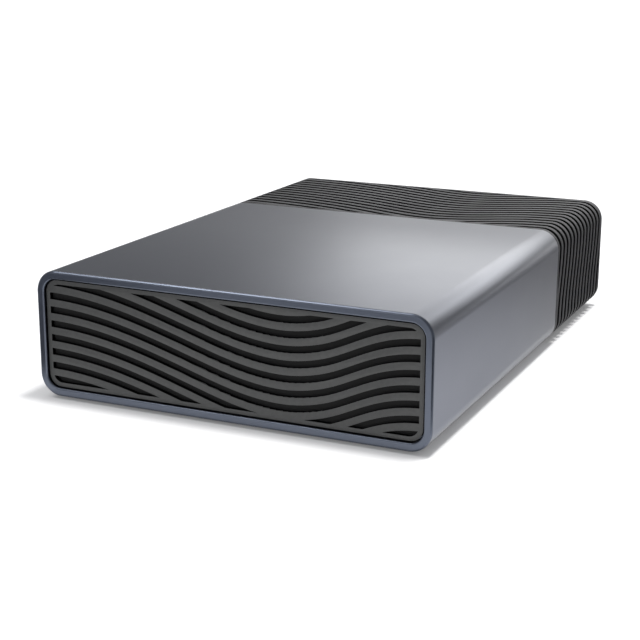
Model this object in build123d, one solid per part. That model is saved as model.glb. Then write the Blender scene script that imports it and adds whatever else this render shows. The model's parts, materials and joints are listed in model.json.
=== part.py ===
from build123d import *
import os
from math import acos, atan2, ceil, cos, degrees, floor, radians, sin, sqrt

# An external hard drive for a desk, in millimetres.
# Z is up, the slotted front faces -Y and the ribbed rear is at +Y.
# The origin is the middle of the footprint, on the desk.

# The 3.5-inch drive that the case is built round
DRIVE_WIDTH = 101.6
DRIVE_LENGTH = 147.0
DRIVE_HEIGHT = 26.1

# Case walls and outline
CORNER_RADIUS = 6.5
SLEEVE_WALL = 1.6
SLEEVE_LENGTH = 114.4
SHROUD_WALL = 3.0
FOOT_STANDOFF = 0.8
FIT_CLEARANCE = 0.1
SPIGOT_LENGTH = 5.0
SCREW_END_GAP = 0.3

# Front rim, grille and dust screen
RIM_WIDTH = 2.4
RIM_CHAMFER = 0.5
CHAMFER_LAND = 0.01
RIM_SPIGOT = 6.0
GRILLE_RECESS = 0.9
GRILLE_GAP = 0.38
GRILLE_THICKNESS = 1.4
GRILLE_BORDER = 1.2
WINDOW_RADIUS = 3.0
SLOT_PITCH = 4.1
SLOT_HEIGHT = 2.0
SCREEN_THICKNESS = 0.4
LEDGE_WIDTH = 1.4
LEDGE_THICKNESS = 1.3
AIR_SPACE = 4.0

# The wave of the front slots, from left to right: (x, height over the trough, slope).
# The two ends lie outside the slot window, so they only steer the line.
SLOT_TROUGH_HEIGHT = 14.74
SLOT_END_OVERRUN = 1.7
SLOT_LEFT_RISE = 14.77
SLOT_RIGHT_RISE = 10.55
SLOT_WAVE = ((-13.9, 6.64, -0.306), (16.85, 0.0, 0.0), (28.5, 1.71, 0.289))

# The wave of the rear grooves over the top: (x, distance behind the trough, slope)
GROOVE_PITCH = 4.17
GROOVE_WIDTH = 2.05
GROOVE_DEPTH = 1.2
GROOVE_LEFT_LAG = 15.0
GROOVE_RIGHT_LAG = 12.5
GROOVE_WAVE = ((-6.0, 5.2, -0.385), (14.0, 0.0, 0.0), (32.0, 5.6, 0.52))
GROOVE_SIDE_DROP = 3.5
FIRST_GROOVE = 2.95
PLAIN_FRONT_BAND = 1.6
PLAIN_REAR_BAND = 1.5
GROOVE_CURL = 82.0

# Drive carrier and its rubber mounts
CARRIER_FLOOR = 1.4
TRAY_CHAMFER = 0.8
DRIVE_LIFT = 0.8
RAIL_THICKNESS = 2.0
RAIL_HEIGHT = 14.0
GROMMET_INNER_FLANGE = 1.5
GROMMET_OUTER_FLANGE = 0.8
GROMMET_RADIUS = 4.2
GROMMET_NECK_RADIUS = 3.0
MOUNT_SCREW_RADIUS = 1.7
MOUNT_HEAD_RADIUS = 3.0
MOUNT_HEAD = 1.4
MOUNT_SOCKET_RADIUS = 1.4
MOUNT_SCREW_DEPTH = 4.0
MOUNT_HOLE_HEIGHT = 6.35
MOUNT_HOLES_FROM_REAR = (28.5, 130.1)
SIDE_CLEARANCE = 0.5
VENT_WIDTH = 12.0
VENT_LENGTH = 36.0
VENT_BRIDGE = 6.0
VENT_ROWS = ((-1, 15.0), (0, 9.0), (1, 15.0))

# Folded shield over the rear of the drive
SHIELD_ROOM = 2.7
SHIELD_THICKNESS = 0.5
SHIELD_GAP = 0.6
SHIELD_OVERLAP = 20.0
SHIELD_BACK_LIFT = 1.2

# Rear panel and its screws
PANEL_THICKNESS = 2.0
PANEL_RECESS = 1.0
PANEL_CLEARANCE = 0.15
PANEL_LEDGE = 1.2
CASE_SCREW_INSET = 11.0
CASE_SCREW_RADIUS = 1.5
CASE_SCREW_LENGTH = 9.0
CASE_HEAD_RADIUS = 2.8
CASE_HEAD = 1.6
CROSS_LENGTH = 3.2
CROSS_WIDTH = 0.8
POST_RADIUS = 3.5

# Bridge board, its sockets and its small parts
BOARD_DEPTH = 11.0
BOARD_FRONT_GAP = 2.5
BOARD_REAR_GAP = 0.5
BOARD_SIDE_GAP = 1.0
BOARD_THICKNESS = 1.2
BOARD_LIFT = 2.2
BOARD_POST_RADIUS = 2.4
BOARD_SCREW_SIDE = 3.0
BOARD_SCREW_FRONT = 2.8
BOARD_SCREW_REAR = 2.6
USB_X = -14.0
USB_WIDTH = 8.94
USB_HEIGHT = 3.16
USB_CORNER = 1.53
USB_SHELL = 0.3
USB_LENGTH = 8.6
USB_BACK_WALL = 1.0
USB_SET_BACK = 0.2
TONGUE_WIDTH = 6.68
TONGUE_THICKNESS = 0.7
TONGUE_SET_BACK = 0.9
JACK_X = 18.0
JACK_WIDTH = 9.0
JACK_HEIGHT = 11.0
JACK_FRONT_GAP = 0.5
JACK_SET_BACK = 0.4
JACK_BARREL_RADIUS = 4.0
JACK_BORE_RADIUS = 2.75
JACK_BORE_DEPTH = 9.5
JACK_PIN_RADIUS = 1.05
JACK_PIN_SET_BACK = 1.0
JACK_PIN_ROUND = 0.6
LOCK_X = -36.0
LOCK_WIDTH = 7.0
LOCK_HEIGHT = 3.0
LOCK_Z = 20.0
LIGHT_X = 5.0
LIGHT_RADIUS = 1.0
LIGHT_INSET = 0.5
LAMP_WIDTH = 2.4
LAMP_DEPTH = 1.6
BRIDGE_CHIP_X = (-33.0, -26.0)
BRIDGE_CHIP_FRONT = 3.0
BRIDGE_CHIP_REAR = 1.0
BRIDGE_CHIP_HEIGHT = 1.0
CAPACITOR_RADIUS = 2.2
CAPACITOR_HEIGHT = 6.0
# Places of the capacitors: (distance from the board's right end, distance from its front)
CAPACITOR_SPOTS = ((17.0, 3.4), (17.0, 7.8), (10.0, 7.8))

# The drive's connector and the one that plugs into it
PLUG_SIDE = 6.0
PLUG_WIDTH = 42.0
PLUG_DEPTH = 6.5
PLUG_HEIGHT = 4.8
PLUG_END_WALL = 1.0
PLUG_WALL = 0.7
PLUG_MOUTH = 5.3
PLUG_TONGUE_SIDE = 2.5
PLUG_TONGUE_SHORT = 0.6
PLUG_TONGUE_Z = (1.8, 3.0)
PLUG_KEY_X = (2.0, 3.0)
PLUG_FIT = 0.2
NOSE_LENGTH = 5.0
RECEPTACLE_HEIGHT = 5.4
RECEPTACLE_REAR = 2.5

# Feet
FOOT_RADIUS = 6.0
FOOT_POCKET = 0.7
FOOT_CHAMFER = 0.27
FOOT_SIDE_INSET = 15.0
FOOT_INSET = 16.0

# Cast drive base
CAST_RADIUS = 3.0
DISK_WELL_WALL = 1.6
FRONT_WALL_EXTRA = 0.2
DISK_EDGE_CLEARANCE = 1.7
POCKET_WALL = 2.5
REAR_STRIP = 7.0
RECESS_DEPTH = 4.0
RECESS_SIDE = 6.8
RECESS_FRONT = 4.0
CAST_FLOOR = 2.5
MOTOR_BOSS_RADIUS = 14.0
MOTOR_BOSS_LIFT = 1.0
MOUNT_BOSS_WALL = 1.3
MOUNT_BOSS_END = 1.5
BOARD_BOSS_RADIUS = 2.6
BOARD_BOSS_SIDE = 3.5
BOARD_BOSS_REAR = 12.0
BOARD_BOSS_FRONT = 5.0
BOARD_HOLE_DEPTH = 1.0

# Drive cover, its seal and its filters
COVER_THICKNESS = 1.6
GASKET_THICKNESS = 0.6
COVER_MARGIN = 0.8
COVER_DISH_INSET = 4.0
COVER_BOSS_RADIUS = 7.0
COVER_SCREW_RADIUS = 1.0
COVER_SCREW_DEPTH = 5.0
COVER_HOLE_DEPTH = 6.0
COVER_HEAD_RADIUS = 2.0
COVER_HEAD = 0.9
COVER_SOCKET_RADIUS = 0.9
COVER_SCREW_INSET = 4.5
SHAFT_TAP_DEPTH = 7.0
BREATHER_RADIUS = 6.0
BREATHER_THICKNESS = 2.0
BREATHER_SIDE = 14.0
BREATHER_REAR = 12.0
FILTER_THICKNESS = 3.5
FILTER_LENGTH = 12.0
FILTER_GAP = 5.0

# Spindle
PLATTERS = 3
PLATTER_THICKNESS = 1.27
PLATTER_PITCH = 4.2
PLATTER_BORE_RADIUS = 12.5
FIRST_PLATTER_LIFT = 3.0
RUNNING_CLEARANCE = 0.05
AIR_GAP = 0.4
SHAFT_RADIUS = 2.5
HUB_FLANGE = 1.6
HUB_FLANGE_WIDTH = 3.5
HUB_WALL = 1.05
HUB_SLEEVE_WALL = 1.9
HUB_INSIDE_HEIGHT = 7.0
MAGNET_RING = 0.8
STATOR_POLES = 9
STATOR_IN = 6.0
STATOR_YOKE = 1.2
STATOR_TOOTH_WIDTH = 1.5
STATOR_TIP = 0.9
STATOR_TIP_ANGLE = 26.0
STATOR_TIP_BITE = 0.2
STATOR_HEIGHTS = (2.4, 6.0)
SPACER_WIDTH = 3.0
CLAMP_WIDTH = 2.5
CLAMP_BORE_WALL = 1.5
CLAMP_THICKNESS = 1.2
CLAMP_SCREWS = 6
CLAMP_SCREW_CIRCLE = 8.2
CLAMP_SCREW_DEPTH = 3.5
CLAMP_TAP_DEPTH = 4.0

# Actuator
PLATTER_TO_BLOCK = 1.0
HEAD_REACH = 52.0
TIP_OVERHANG = 2.0
PARK_MARGIN = 2.0
INNER_TRACK_RADIUS = 20.0
ARM_THICKNESS = 1.3
ARM_REACH = 32.0
ARM_ROOT_STEP = 0.5
ARM_TIP_RADIUS = 2.6
ARM_WINDOW_LENGTH = 12.8
ARM_WINDOW_WIDTH = 3.0
ARM_WINDOW_SHIFT = 2.0
BLOCK_RADIUS = 7.5
BEARING_RADIUS = 5.0
BEARING_RISE = 0.4
SUSPENSION_THICKNESS = 0.25
SUSPENSION_OVERLAP = 3.0
SUSPENSION_NECK = 6.0
SUSPENSION_HALF_WIDTHS = (2.4, 1.3, 0.5)
SLIDER_THICKNESS = 0.4
SLIDER_LENGTH = 1.2
SLIDER_WIDTH = 0.9
COIL_GAP = 2.1
COIL_OUTER = 21.6
COIL_LEG = 3.0
COIL_HALF_ANGLE = 22.0
COIL_THICKNESS = 2.2
FINGER_ANGLE = 4.5
FINGER_INSET = 2.6

# Magnet housing and crash stops
YOKE_THICKNESS = 2.4
YOKE_GAP = 2.0
YOKE_SIDE_GAP = 0.7
YOKE_END_ANGLE = 0.5
YOKE_LEG_RADIUS = 1.3
YOKE_LEG_MARGIN = 0.2
YOKE_LEG_ANGLE = 4.5
MAGNET_THICKNESS = 2.2
MAGNET_GAP = 1.3
MAGNET_INNER_STEP = 1.5
MAGNET_OUTER_STEP = 1.0
MAGNET_END_ANGLE = 4.0
STOP_RADIUS = 1.2
STOP_INSET = 4.0
STOP_CLEARANCE = 0.6

# Load ramp, latch and flexible lead
RAMP_GAP = 0.6
RAMP_TOWER = 3.4
RAMP_RISE = 1.0
RAMP_BITE = 0.4
RAMP_FIN_GAP = 0.8
RAMP_ANGLES = (-4.0, 2.0)
RAMP_FIN_END = 5.0
LATCH_ANGLE = 28.0
LATCH_OFFSET = 0.4
LATCH_RADIUS = 2.2
LATCH_BORE = 1.05
LATCH_HOOK_ANGLE = 5.0
LATCH_HOOK_OFFSET = 0.8
LATCH_HOOK_RADIUS = 1.0
LATCH_TAIL = (2.4, -5.6)
LATCH_TAIL_RADIUS = 1.8
LATCH_PIN_STEP = 0.7
LATCH_CAP = 1.0
FLEX_RADIUS = 6.0
FLEX_THICKNESS = 0.2
FLEX_HEIGHT = 5.0
FLEX_GAP = 1.6
FLEX_OFFSET = 4.6
CONNECTOR_THICKNESS = 3.0
CONNECTOR_REACH = (-6.0, 4.0)

# Drive circuit board. Its chips: (x, distance from the drive's rear end, size).
DRIVE_BOARD_THICKNESS = 1.0
DRIVE_BOARD_LIFT = 1.0
DRIVE_BOARD_LENGTH = 74.0
DRIVE_BOARD_SIDE = 0.5
DRIVE_BOARD_REAR = 1.0
MOTOR_BAY_GAP = 1.0
DRIVE_BOARD_SCREW_RISE = 0.7
DRIVE_BOARD_HEAD = 0.8
CHIP_HEIGHT = 1.2
CHIPS = ((-18, 46, 13), (8, 44, 10), (24, 30, 8), (-26, 24, 7))
FOAM_SIDE = 8.0
FOAM_REACH = (60.0, 18.0)

# The case follows from the drive and what surrounds it
FRONT_ROOM = GRILLE_RECESS + GRILLE_THICKNESS + SCREEN_THICKNESS + LEDGE_THICKNESS + AIR_SPACE
REAR_ROOM = BOARD_FRONT_GAP + BOARD_DEPTH + BOARD_REAR_GAP + PANEL_THICKNESS + PANEL_RECESS
SIDE_STACK = GROMMET_INNER_FLANGE + RAIL_THICKNESS + GROMMET_OUTER_FLANGE + MOUNT_HEAD
SIDE_ROOM = SIDE_STACK + SIDE_CLEARANCE + SHROUD_WALL
ROOM_BELOW = SHROUD_WALL + CARRIER_FLOOR + DRIVE_LIFT
ROOM_ABOVE = SHROUD_WALL + SHIELD_ROOM
WIDTH = DRIVE_WIDTH + 2 * SIDE_ROOM
LENGTH = DRIVE_LENGTH + FRONT_ROOM + REAR_ROOM
BODY_HEIGHT = DRIVE_HEIGHT + ROOM_BELOW + ROOM_ABOVE

BODY_BOTTOM = FOOT_STANDOFF
BODY_TOP = BODY_BOTTOM + BODY_HEIGHT
BODY_MIDDLE = BODY_BOTTOM + BODY_HEIGHT / 2
FRONT_Y = -LENGTH / 2
REAR_Y = LENGTH / 2
SLEEVE_FRONT = FRONT_Y + RIM_CHAMFER
SEAM_Y = SLEEVE_FRONT + SLEEVE_LENGTH
GRILLE_Y = FRONT_Y + GRILLE_RECESS
SCREEN_Y = GRILLE_Y + GRILLE_THICKNESS
LEDGE_Y = SCREEN_Y + SCREEN_THICKNESS
CARRIER_FRONT = LEDGE_Y + LEDGE_THICKNESS
PANEL_OUT = REAR_Y - PANEL_RECESS
PANEL_IN = PANEL_OUT - PANEL_THICKNESS
CARRIER_REAR = PANEL_IN - PANEL_LEDGE - 2 * FIT_CLEARANCE

# Places across the case
FOOT_X = WIDTH / 2 - FOOT_SIDE_INSET
CASE_SCREW_X = WIDTH / 2 - CASE_SCREW_INSET
BOARD_HALF_WIDTH = CASE_SCREW_X - POST_RADIUS - BOARD_SIDE_GAP

# Heights inside the case
CARRIER_Z = BODY_BOTTOM + SHROUD_WALL
CARRIER_TOP = CARRIER_Z + CARRIER_FLOOR
DRIVE_Z = CARRIER_TOP + DRIVE_LIFT
DRIVE_TOP = DRIVE_Z + DRIVE_HEIGHT
DRIVE_FRONT = FRONT_Y + FRONT_ROOM
DRIVE_REAR = DRIVE_FRONT + DRIVE_LENGTH
DRIVE_HALF = DRIVE_WIDTH / 2
RAIL_IN = DRIVE_HALF + GROMMET_INNER_FLANGE
RAIL_OUT = RAIL_IN + RAIL_THICKNESS
MOUNT_SEAT = RAIL_OUT + GROMMET_OUTER_FLANGE
BOARD_Z = CARRIER_TOP + BOARD_LIFT
BOARD_TOP = BOARD_Z + BOARD_THICKNESS
BOARD_FRONT = DRIVE_REAR + BOARD_FRONT_GAP
BOARD_REAR = BOARD_FRONT + BOARD_DEPTH
USB_Z = BOARD_TOP + USB_HEIGHT / 2
USB_Y = PANEL_OUT - USB_SET_BACK
JACK_Z = BOARD_TOP + JACK_HEIGHT / 2
JACK_Y = PANEL_OUT - JACK_SET_BACK
BOARD_SCREW_SPOTS = [(side * (BOARD_HALF_WIDTH - BOARD_SCREW_SIDE), y) for side in (-1, 1)
                     for y in (BOARD_FRONT + BOARD_SCREW_FRONT, BOARD_REAR - BOARD_SCREW_REAR)]
MOUNT_SPOTS = [(DRIVE_REAR - back, DRIVE_Z + MOUNT_HOLE_HEIGHT) for back in MOUNT_HOLES_FROM_REAR]

# Heights and plan of the drive
RECESS_TOP = DRIVE_Z + RECESS_DEPTH
DRIVE_BOARD_Z = DRIVE_Z + DRIVE_BOARD_LIFT
PLUG_Z = DRIVE_BOARD_Z + DRIVE_BOARD_THICKNESS
WELL_Z = RECESS_TOP + CAST_FLOOR
COVER_Z = DRIVE_TOP - COVER_THICKNESS
RIM_Z = COVER_Z - GASKET_THICKNESS
DISK_RADIUS = DRIVE_HALF - DISK_WELL_WALL - DISK_EDGE_CLEARANCE
WELL_RADIUS = DISK_RADIUS + DISK_EDGE_CLEARANCE
SPINDLE_Y = DRIVE_FRONT + DISK_WELL_WALL + FRONT_WALL_EXTRA + WELL_RADIUS
POCKET_HALF = DRIVE_HALF - POCKET_WALL
POCKET_REAR = DRIVE_REAR - REAR_STRIP
PLUG_X = RECESS_SIDE + PLUG_SIDE + PLUG_WIDTH / 2 - DRIVE_HALF
YOKE_INNER = BLOCK_RADIUS + YOKE_GAP
YOKE_OUTER = COIL_OUTER + MAGNET_OUTER_STEP + 2 * (YOKE_LEG_RADIUS + YOKE_LEG_MARGIN)
PIVOT_TO_SPINDLE = DISK_RADIUS + PLATTER_TO_BLOCK + BLOCK_RADIUS
PIVOT_X = POCKET_HALF - YOKE_SIDE_GAP - YOKE_OUTER
PIVOT_Y = SPINDLE_Y + sqrt(PIVOT_TO_SPINDLE**2 - PIVOT_X**2)
SHAFT_SPOTS = [(0, SPINDLE_Y), (PIVOT_X, PIVOT_Y)]
COVER_SCREW_SPOTS = [
    (-DRIVE_HALF + COVER_SCREW_INSET, DRIVE_FRONT + COVER_SCREW_INSET),
    (DRIVE_HALF - COVER_SCREW_INSET, DRIVE_FRONT + COVER_SCREW_INSET),
    (-DRIVE_HALF + COVER_SCREW_INSET, DRIVE_REAR - REAR_STRIP / 2),
    (0, DRIVE_REAR - REAR_STRIP / 2),
    (DRIVE_HALF - COVER_SCREW_INSET, DRIVE_REAR - REAR_STRIP / 2),
]
BOARD_BOSS_X = DRIVE_HALF - RECESS_SIDE - BOARD_BOSS_SIDE
BOARD_BOSS_BACKS = DRIVE_BOARD_LENGTH - BOARD_BOSS_FRONT, BOARD_BOSS_REAR
BOARD_BOSS_SPOTS = [(side * BOARD_BOSS_X, DRIVE_REAR - back) for side in (-1, 1)
                    for back in BOARD_BOSS_BACKS]

# Holes for the small screws, tapped and loose
TAP_RADIUS = COVER_SCREW_RADIUS + RUNNING_CLEARANCE
HOLE_RADIUS = COVER_SCREW_RADIUS + FIT_CLEARANCE

# Platters, hub and motor
DISK_GAP = PLATTER_PITCH - PLATTER_THICKNESS
FIRST_PLATTER_Z = WELL_Z + FIRST_PLATTER_LIFT
STACK_TOP = FIRST_PLATTER_Z + (PLATTERS - 1) * PLATTER_PITCH + PLATTER_THICKNESS
HUB_BORE = SHAFT_RADIUS + RUNNING_CLEARANCE
HUB_RADIUS = PLATTER_BORE_RADIUS - RUNNING_CLEARANCE
HUB_INSIDE = HUB_RADIUS - HUB_WALL
HUB_Z = FIRST_PLATTER_Z - HUB_FLANGE
HUB_SLEEVE = HUB_BORE + HUB_SLEEVE_WALL
STATOR_OUT = HUB_INSIDE - MAGNET_RING - AIR_GAP
HUB_FLANGE_RADIUS = PLATTER_BORE_RADIUS + HUB_FLANGE_WIDTH
CLAMP_RADIUS = PLATTER_BORE_RADIUS + CLAMP_WIDTH
MOTOR_BAY_RADIUS = MOTOR_BOSS_RADIUS + MOTOR_BAY_GAP

# Arms, ramp and magnets
SUSPENSION_TIP = HEAD_REACH + TIP_OVERHANG
COIL_INNER = BLOCK_RADIUS + COIL_GAP
FINGER_REACH = COIL_OUTER - FINGER_INSET
STOP_REACH = FINGER_REACH - STOP_INSET
COIL_Z = WELL_Z + YOKE_THICKNESS + MAGNET_THICKNESS + MAGNET_GAP
COIL_TOP = COIL_Z + COIL_THICKNESS
UPPER_YOKE_Z = COIL_TOP + MAGNET_GAP + MAGNET_THICKNESS
ARM_MIDDLES = [FIRST_PLATTER_Z - DISK_GAP / 2 + i * PLATTER_PITCH for i in range(PLATTERS + 1)]
ARMS_LOW = ARM_MIDDLES[0] - ARM_THICKNESS / 2
ARMS_HIGH = ARM_MIDDLES[-1] + ARM_THICKNESS / 2
FLEX_X = PIVOT_X - FLEX_OFFSET
FLEX_Y = PIVOT_Y + BLOCK_RADIUS + FLEX_GAP


def turn_to_head(head_radius):
    """Angle at the pivot between the spindle and a head that far from the spindle, in degrees."""
    product = 2 * PIVOT_TO_SPINDLE * HEAD_REACH
    return degrees(acos((PIVOT_TO_SPINDLE**2 + HEAD_REACH**2 - head_radius**2) / product))


def polar(angle, radius):
    """A spot at this angle and distance from the actuator's pivot."""
    return PIVOT_X + radius * cos(radians(angle)), PIVOT_Y + radius * sin(radians(angle))


# Angles about the pivot, anticlockwise from +X: of the arms when parked on the ramp, of their
# swing to the inner track, of the coil, and of the sides of the space that the coil sweeps
SPINDLE_ANGLE = degrees(atan2(SPINDLE_Y - PIVOT_Y, -PIVOT_X))
PARKED_ANGLE = SPINDLE_ANGLE - turn_to_head(DISK_RADIUS + PARK_MARGIN)
SWING = turn_to_head(DISK_RADIUS + PARK_MARGIN) - turn_to_head(INNER_TRACK_RADIUS)
COIL_ANGLE = PARKED_ANGLE + 180
COIL_LOW_SIDE = COIL_ANGLE - COIL_HALF_ANGLE - FINGER_ANGLE
COIL_HIGH_SIDE = COIL_ANGLE + COIL_HALF_ANGLE + FINGER_ANGLE + SWING
LATCH_X, LATCH_Y = polar(COIL_LOW_SIDE - LATCH_ANGLE, COIL_OUTER + LATCH_OFFSET)


def box(x, y, z):
    """A block between three pairs of low and high coordinates."""
    size = x[1] - x[0], y[1] - y[0], z[1] - z[0]
    return Pos(sum(x) / 2, sum(y) / 2, sum(z) / 2) * Box(*size)


def around(middle, size):
    """The low and high coordinate of something of this size round its middle."""
    return middle - size / 2, middle + size / 2


def post(x, y, radius, low, high):
    """An upright cylinder."""
    return Pos(x, y, (low + high) / 2) * Cylinder(radius, high - low)


def pin_along_y(x, z, radius, low, high):
    """A cylinder that lies along Y."""
    return Pos(x, (low + high) / 2, z) * Rot(90, 0, 0) * Cylinder(radius, high - low)


def pin_along_x(y, z, radius, low, high):
    """A cylinder that lies along X."""
    return Pos((low + high) / 2, y, z) * Rot(0, 90, 0) * Cylinder(radius, high - low)


def section(inset, y):
    """The case's outline in the plane at y, shrunk by inset on every side."""
    outline = RectangleRounded(WIDTH - 2 * inset, BODY_HEIGHT - 2 * inset, CORNER_RADIUS - inset)
    return Plane((0, y, BODY_MIDDLE), x_dir=(1, 0, 0), z_dir=(0, -1, 0)) * outline


def slab(inset, low, high):
    """The case's outline, shrunk by inset, filled from y = low to y = high."""
    return extrude(section(inset, high), amount=high - low)


def flat_ring(spot, inner, outer, low, high):
    """A washer that lies flat round the given spot."""
    return Pos(spot[0], spot[1], low) * extrude(Circle(outer) - Circle(inner), amount=high - low)


def sector(inner, outer, start, end, low, high):
    """A flat piece of a ring round the actuator's pivot, its angles anticlockwise from +X."""
    outside = CenterArc(polar(0, 0), outer, start, end - start)
    inside = CenterArc(polar(0, 0), inner, start, end - start)
    sides = [Line(outside @ 0, inside @ 0), Line(outside @ 1, inside @ 1)]
    return Pos(0, 0, low) * extrude(make_face([outside, inside, *sides]), amount=high - low)


def on_arm(shape):
    """Takes a shape drawn along +X from the origin to the parked arm."""
    return Pos(PIVOT_X, PIVOT_Y, 0) * Rot(0, 0, PARKED_ANGLE) * shape


def join(*shapes):
    """Fuses the shapes into one."""
    first, *rest = shapes
    return first.fuse(*rest)


def wave_line(knots, shift):
    """A smooth line through (x, height, slope) knots, raised by shift."""
    points = [(x, height + shift) for x, height, _ in knots]
    return Spline(*points, tangents=[(1, slope) for _, _, slope in knots])


def wave_band(knots, shift, width):
    """The face between two copies of the wave, width apart."""
    low, high = wave_line(knots, shift - width / 2), wave_line(knots, shift + width / 2)
    return make_face([low, high, Line(low @ 0, high @ 0), Line(low @ 1, high @ 1)])


# Case

def foot_pockets(y):
    return [post(side * FOOT_X, y, FOOT_RADIUS + FIT_CLEARANCE, BODY_BOTTOM, BODY_BOTTOM + FOOT_POCKET)
            for side in (-1, 1)]


def make_sleeve():
    tube = slab(0, SLEEVE_FRONT, SEAM_Y) - slab(SLEEVE_WALL, SLEEVE_FRONT, SEAM_Y)
    return tube - foot_pockets(FRONT_Y + FOOT_INSET)


def make_bezel():
    """The rim, its opening with a ledge behind the grille, and a spigot in the sleeve."""
    face = slab(0, FRONT_Y, SLEEVE_FRONT)
    face = chamfer(face.faces().sort_by(Axis.Y)[0].edges(), RIM_CHAMFER - CHAMFER_LAND)
    spigot = slab(SLEEVE_WALL + FIT_CLEARANCE, SLEEVE_FRONT, SLEEVE_FRONT + RIM_SPIGOT)
    opening = slab(RIM_WIDTH, FRONT_Y, LEDGE_Y)
    throat = slab(RIM_WIDTH + LEDGE_WIDTH, LEDGE_Y, CARRIER_FRONT)
    behind = slab(RIM_WIDTH, CARRIER_FRONT, SLEEVE_FRONT + RIM_SPIGOT)
    return join(face, spigot) - [opening, throat, behind]


def make_grille():
    inset = RIM_WIDTH + GRILLE_GAP
    plate = slab(inset, GRILLE_Y, SCREEN_Y)
    half = WIDTH / 2 - inset - GRILLE_BORDER
    height = BODY_HEIGHT - 2 * (inset + GRILLE_BORDER)
    window = RectangleRounded(2 * half, height, WINDOW_RADIUS)
    ends = half + SLOT_END_OVERRUN
    knots = ((-ends, SLOT_LEFT_RISE, 0.0), *SLOT_WAVE, (ends, SLOT_RIGHT_RISE, 0.0))
    trough = BODY_BOTTOM + SLOT_TROUGH_HEIGHT - BODY_MIDDLE
    reach = height / 2 + SLOT_HEIGHT / 2
    first = ceil((-reach - trough - max(SLOT_LEFT_RISE, SLOT_RIGHT_RISE)) / SLOT_PITCH)
    last = floor((reach - trough) / SLOT_PITCH)
    slots = Sketch()
    for row in range(first, last + 1):
        slots += wave_band(knots, trough + row * SLOT_PITCH, SLOT_HEIGHT) & window
    back = Plane((0, SCREEN_Y, BODY_MIDDLE), x_dir=(1, 0, 0), z_dir=(0, -1, 0))
    return plate - extrude(back * slots, amount=GRILLE_THICKNESS)


def make_screen():
    return slab(RIM_WIDTH + GRILLE_GAP, SCREEN_Y, LEDGE_Y)


def groove_troughs():
    """The y of each groove's trough, from the seam to the rear edge."""
    start = SEAM_Y + FIRST_GROOVE - GROOVE_RIGHT_LAG
    lag = max(GROOVE_LEFT_LAG, GROOVE_RIGHT_LAG)
    first = ceil((SEAM_Y - lag - start) / GROOVE_PITCH)
    last = floor((REAR_Y - start) / GROOVE_PITCH)
    return [start + row * GROOVE_PITCH for row in range(first, last + 1)]


def top_grooves():
    """Wavy bars over the flat of the shroud's top."""
    half = WIDTH / 2 - CORNER_RADIUS
    knots = ((-half, GROOVE_LEFT_LAG, 0.0), *GROOVE_WAVE, (half, GROOVE_RIGHT_LAG, 0.0))
    plan = Sketch()
    for y in groove_troughs():
        plan += wave_band(knots, y, GROOVE_WIDTH)
    return Pos(0, 0, BODY_TOP - GROOVE_DEPTH) * extrude(plan, amount=2 * GROOVE_DEPTH)


def quarter_ring(start, sweep):
    """A quarter of a ring as deep as a groove, out to past the case's corner."""
    outside = CenterArc((0, 0), CORNER_RADIUS + GROOVE_DEPTH, start, sweep)
    inside = CenterArc((0, 0), CORNER_RADIUS - GROOVE_DEPTH, start, sweep)
    return make_face([outside, inside, Line(outside @ 0, inside @ 0), Line(outside @ 1, inside @ 1)])


def corner_grooves(side, lag, drop, z, start):
    """Rings round one long corner of the shroud, from the angle start onwards."""
    axis_x = side * (WIDTH / 2 - CORNER_RADIUS)
    rings = []
    for trough in groove_troughs():
        y = trough + lag - drop
        if SEAM_Y < y - GROOVE_WIDTH / 2 and y + GROOVE_WIDTH / 2 < REAR_Y + GROOVE_WIDTH:
            sweep = GROOVE_CURL if drop else 90
            arc = extrude(Plane.XZ * quarter_ring(start, sweep), amount=GROOVE_WIDTH)
            rings.append(Pos(axis_x, y + GROOVE_WIDTH / 2, z) * arc)
    return rings


def side_grooves(side, lag):
    """Bars down one side of the shroud that drift forwards towards the bottom."""
    low, high = BODY_BOTTOM + CORNER_RADIUS, BODY_TOP - CORNER_RADIUS
    knots = ((low, -GROOVE_SIDE_DROP, 0.0), (high, 0.0, 0.0))
    drawing = Sketch()
    for trough in groove_troughs():
        drawing += wave_band(knots, trough + lag, GROOVE_WIDTH)
    if side > 0:
        drawing = mirror(drawing, Plane.XZ)
    upright = Plane((side * (WIDTH / 2 - GROOVE_DEPTH), 0, 0), x_dir=(0, 0, 1), z_dir=(side, 0, 0))
    return extrude(upright * drawing, amount=2 * GROOVE_DEPTH)


def make_shroud():
    shell = slab(0, SEAM_Y, REAR_Y)
    spigot = slab(SLEEVE_WALL + FIT_CLEARANCE, SEAM_Y - SPIGOT_LENGTH, SEAM_Y)
    inside = slab(SHROUD_WALL, SEAM_Y - SPIGOT_LENGTH, REAR_Y)
    ledge = slab(SHROUD_WALL, PANEL_IN - PANEL_LEDGE, PANEL_IN) - slab(
        SHROUD_WALL + PANEL_LEDGE, PANEL_IN - PANEL_LEDGE, PANEL_IN)
    tools = [top_grooves()]
    for side, lag in ((-1, GROOVE_LEFT_LAG), (1, GROOVE_RIGHT_LAG)):
        upper_start = 0 if side > 0 else 90
        lower_start = -GROOVE_CURL if side > 0 else 180
        tools += corner_grooves(side, lag, 0, BODY_TOP - CORNER_RADIUS, upper_start)
        tools += corner_grooves(side, lag, GROOVE_SIDE_DROP, BODY_BOTTOM + CORNER_RADIUS, lower_start)
        tools.append(side_grooves(side, lag))
    band = slab(-GROOVE_DEPTH, SEAM_Y + PLAIN_FRONT_BAND, REAR_Y - PLAIN_REAR_BAND)
    grooves = join(*tools) & band
    return join(shell, spigot) - [inside, grooves, *foot_pockets(REAR_Y - FOOT_INSET)] + ledge


def lock_slot(low, high):
    return box(around(LOCK_X, LOCK_WIDTH), (low, high), around(LOCK_Z, LOCK_HEIGHT))


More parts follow.
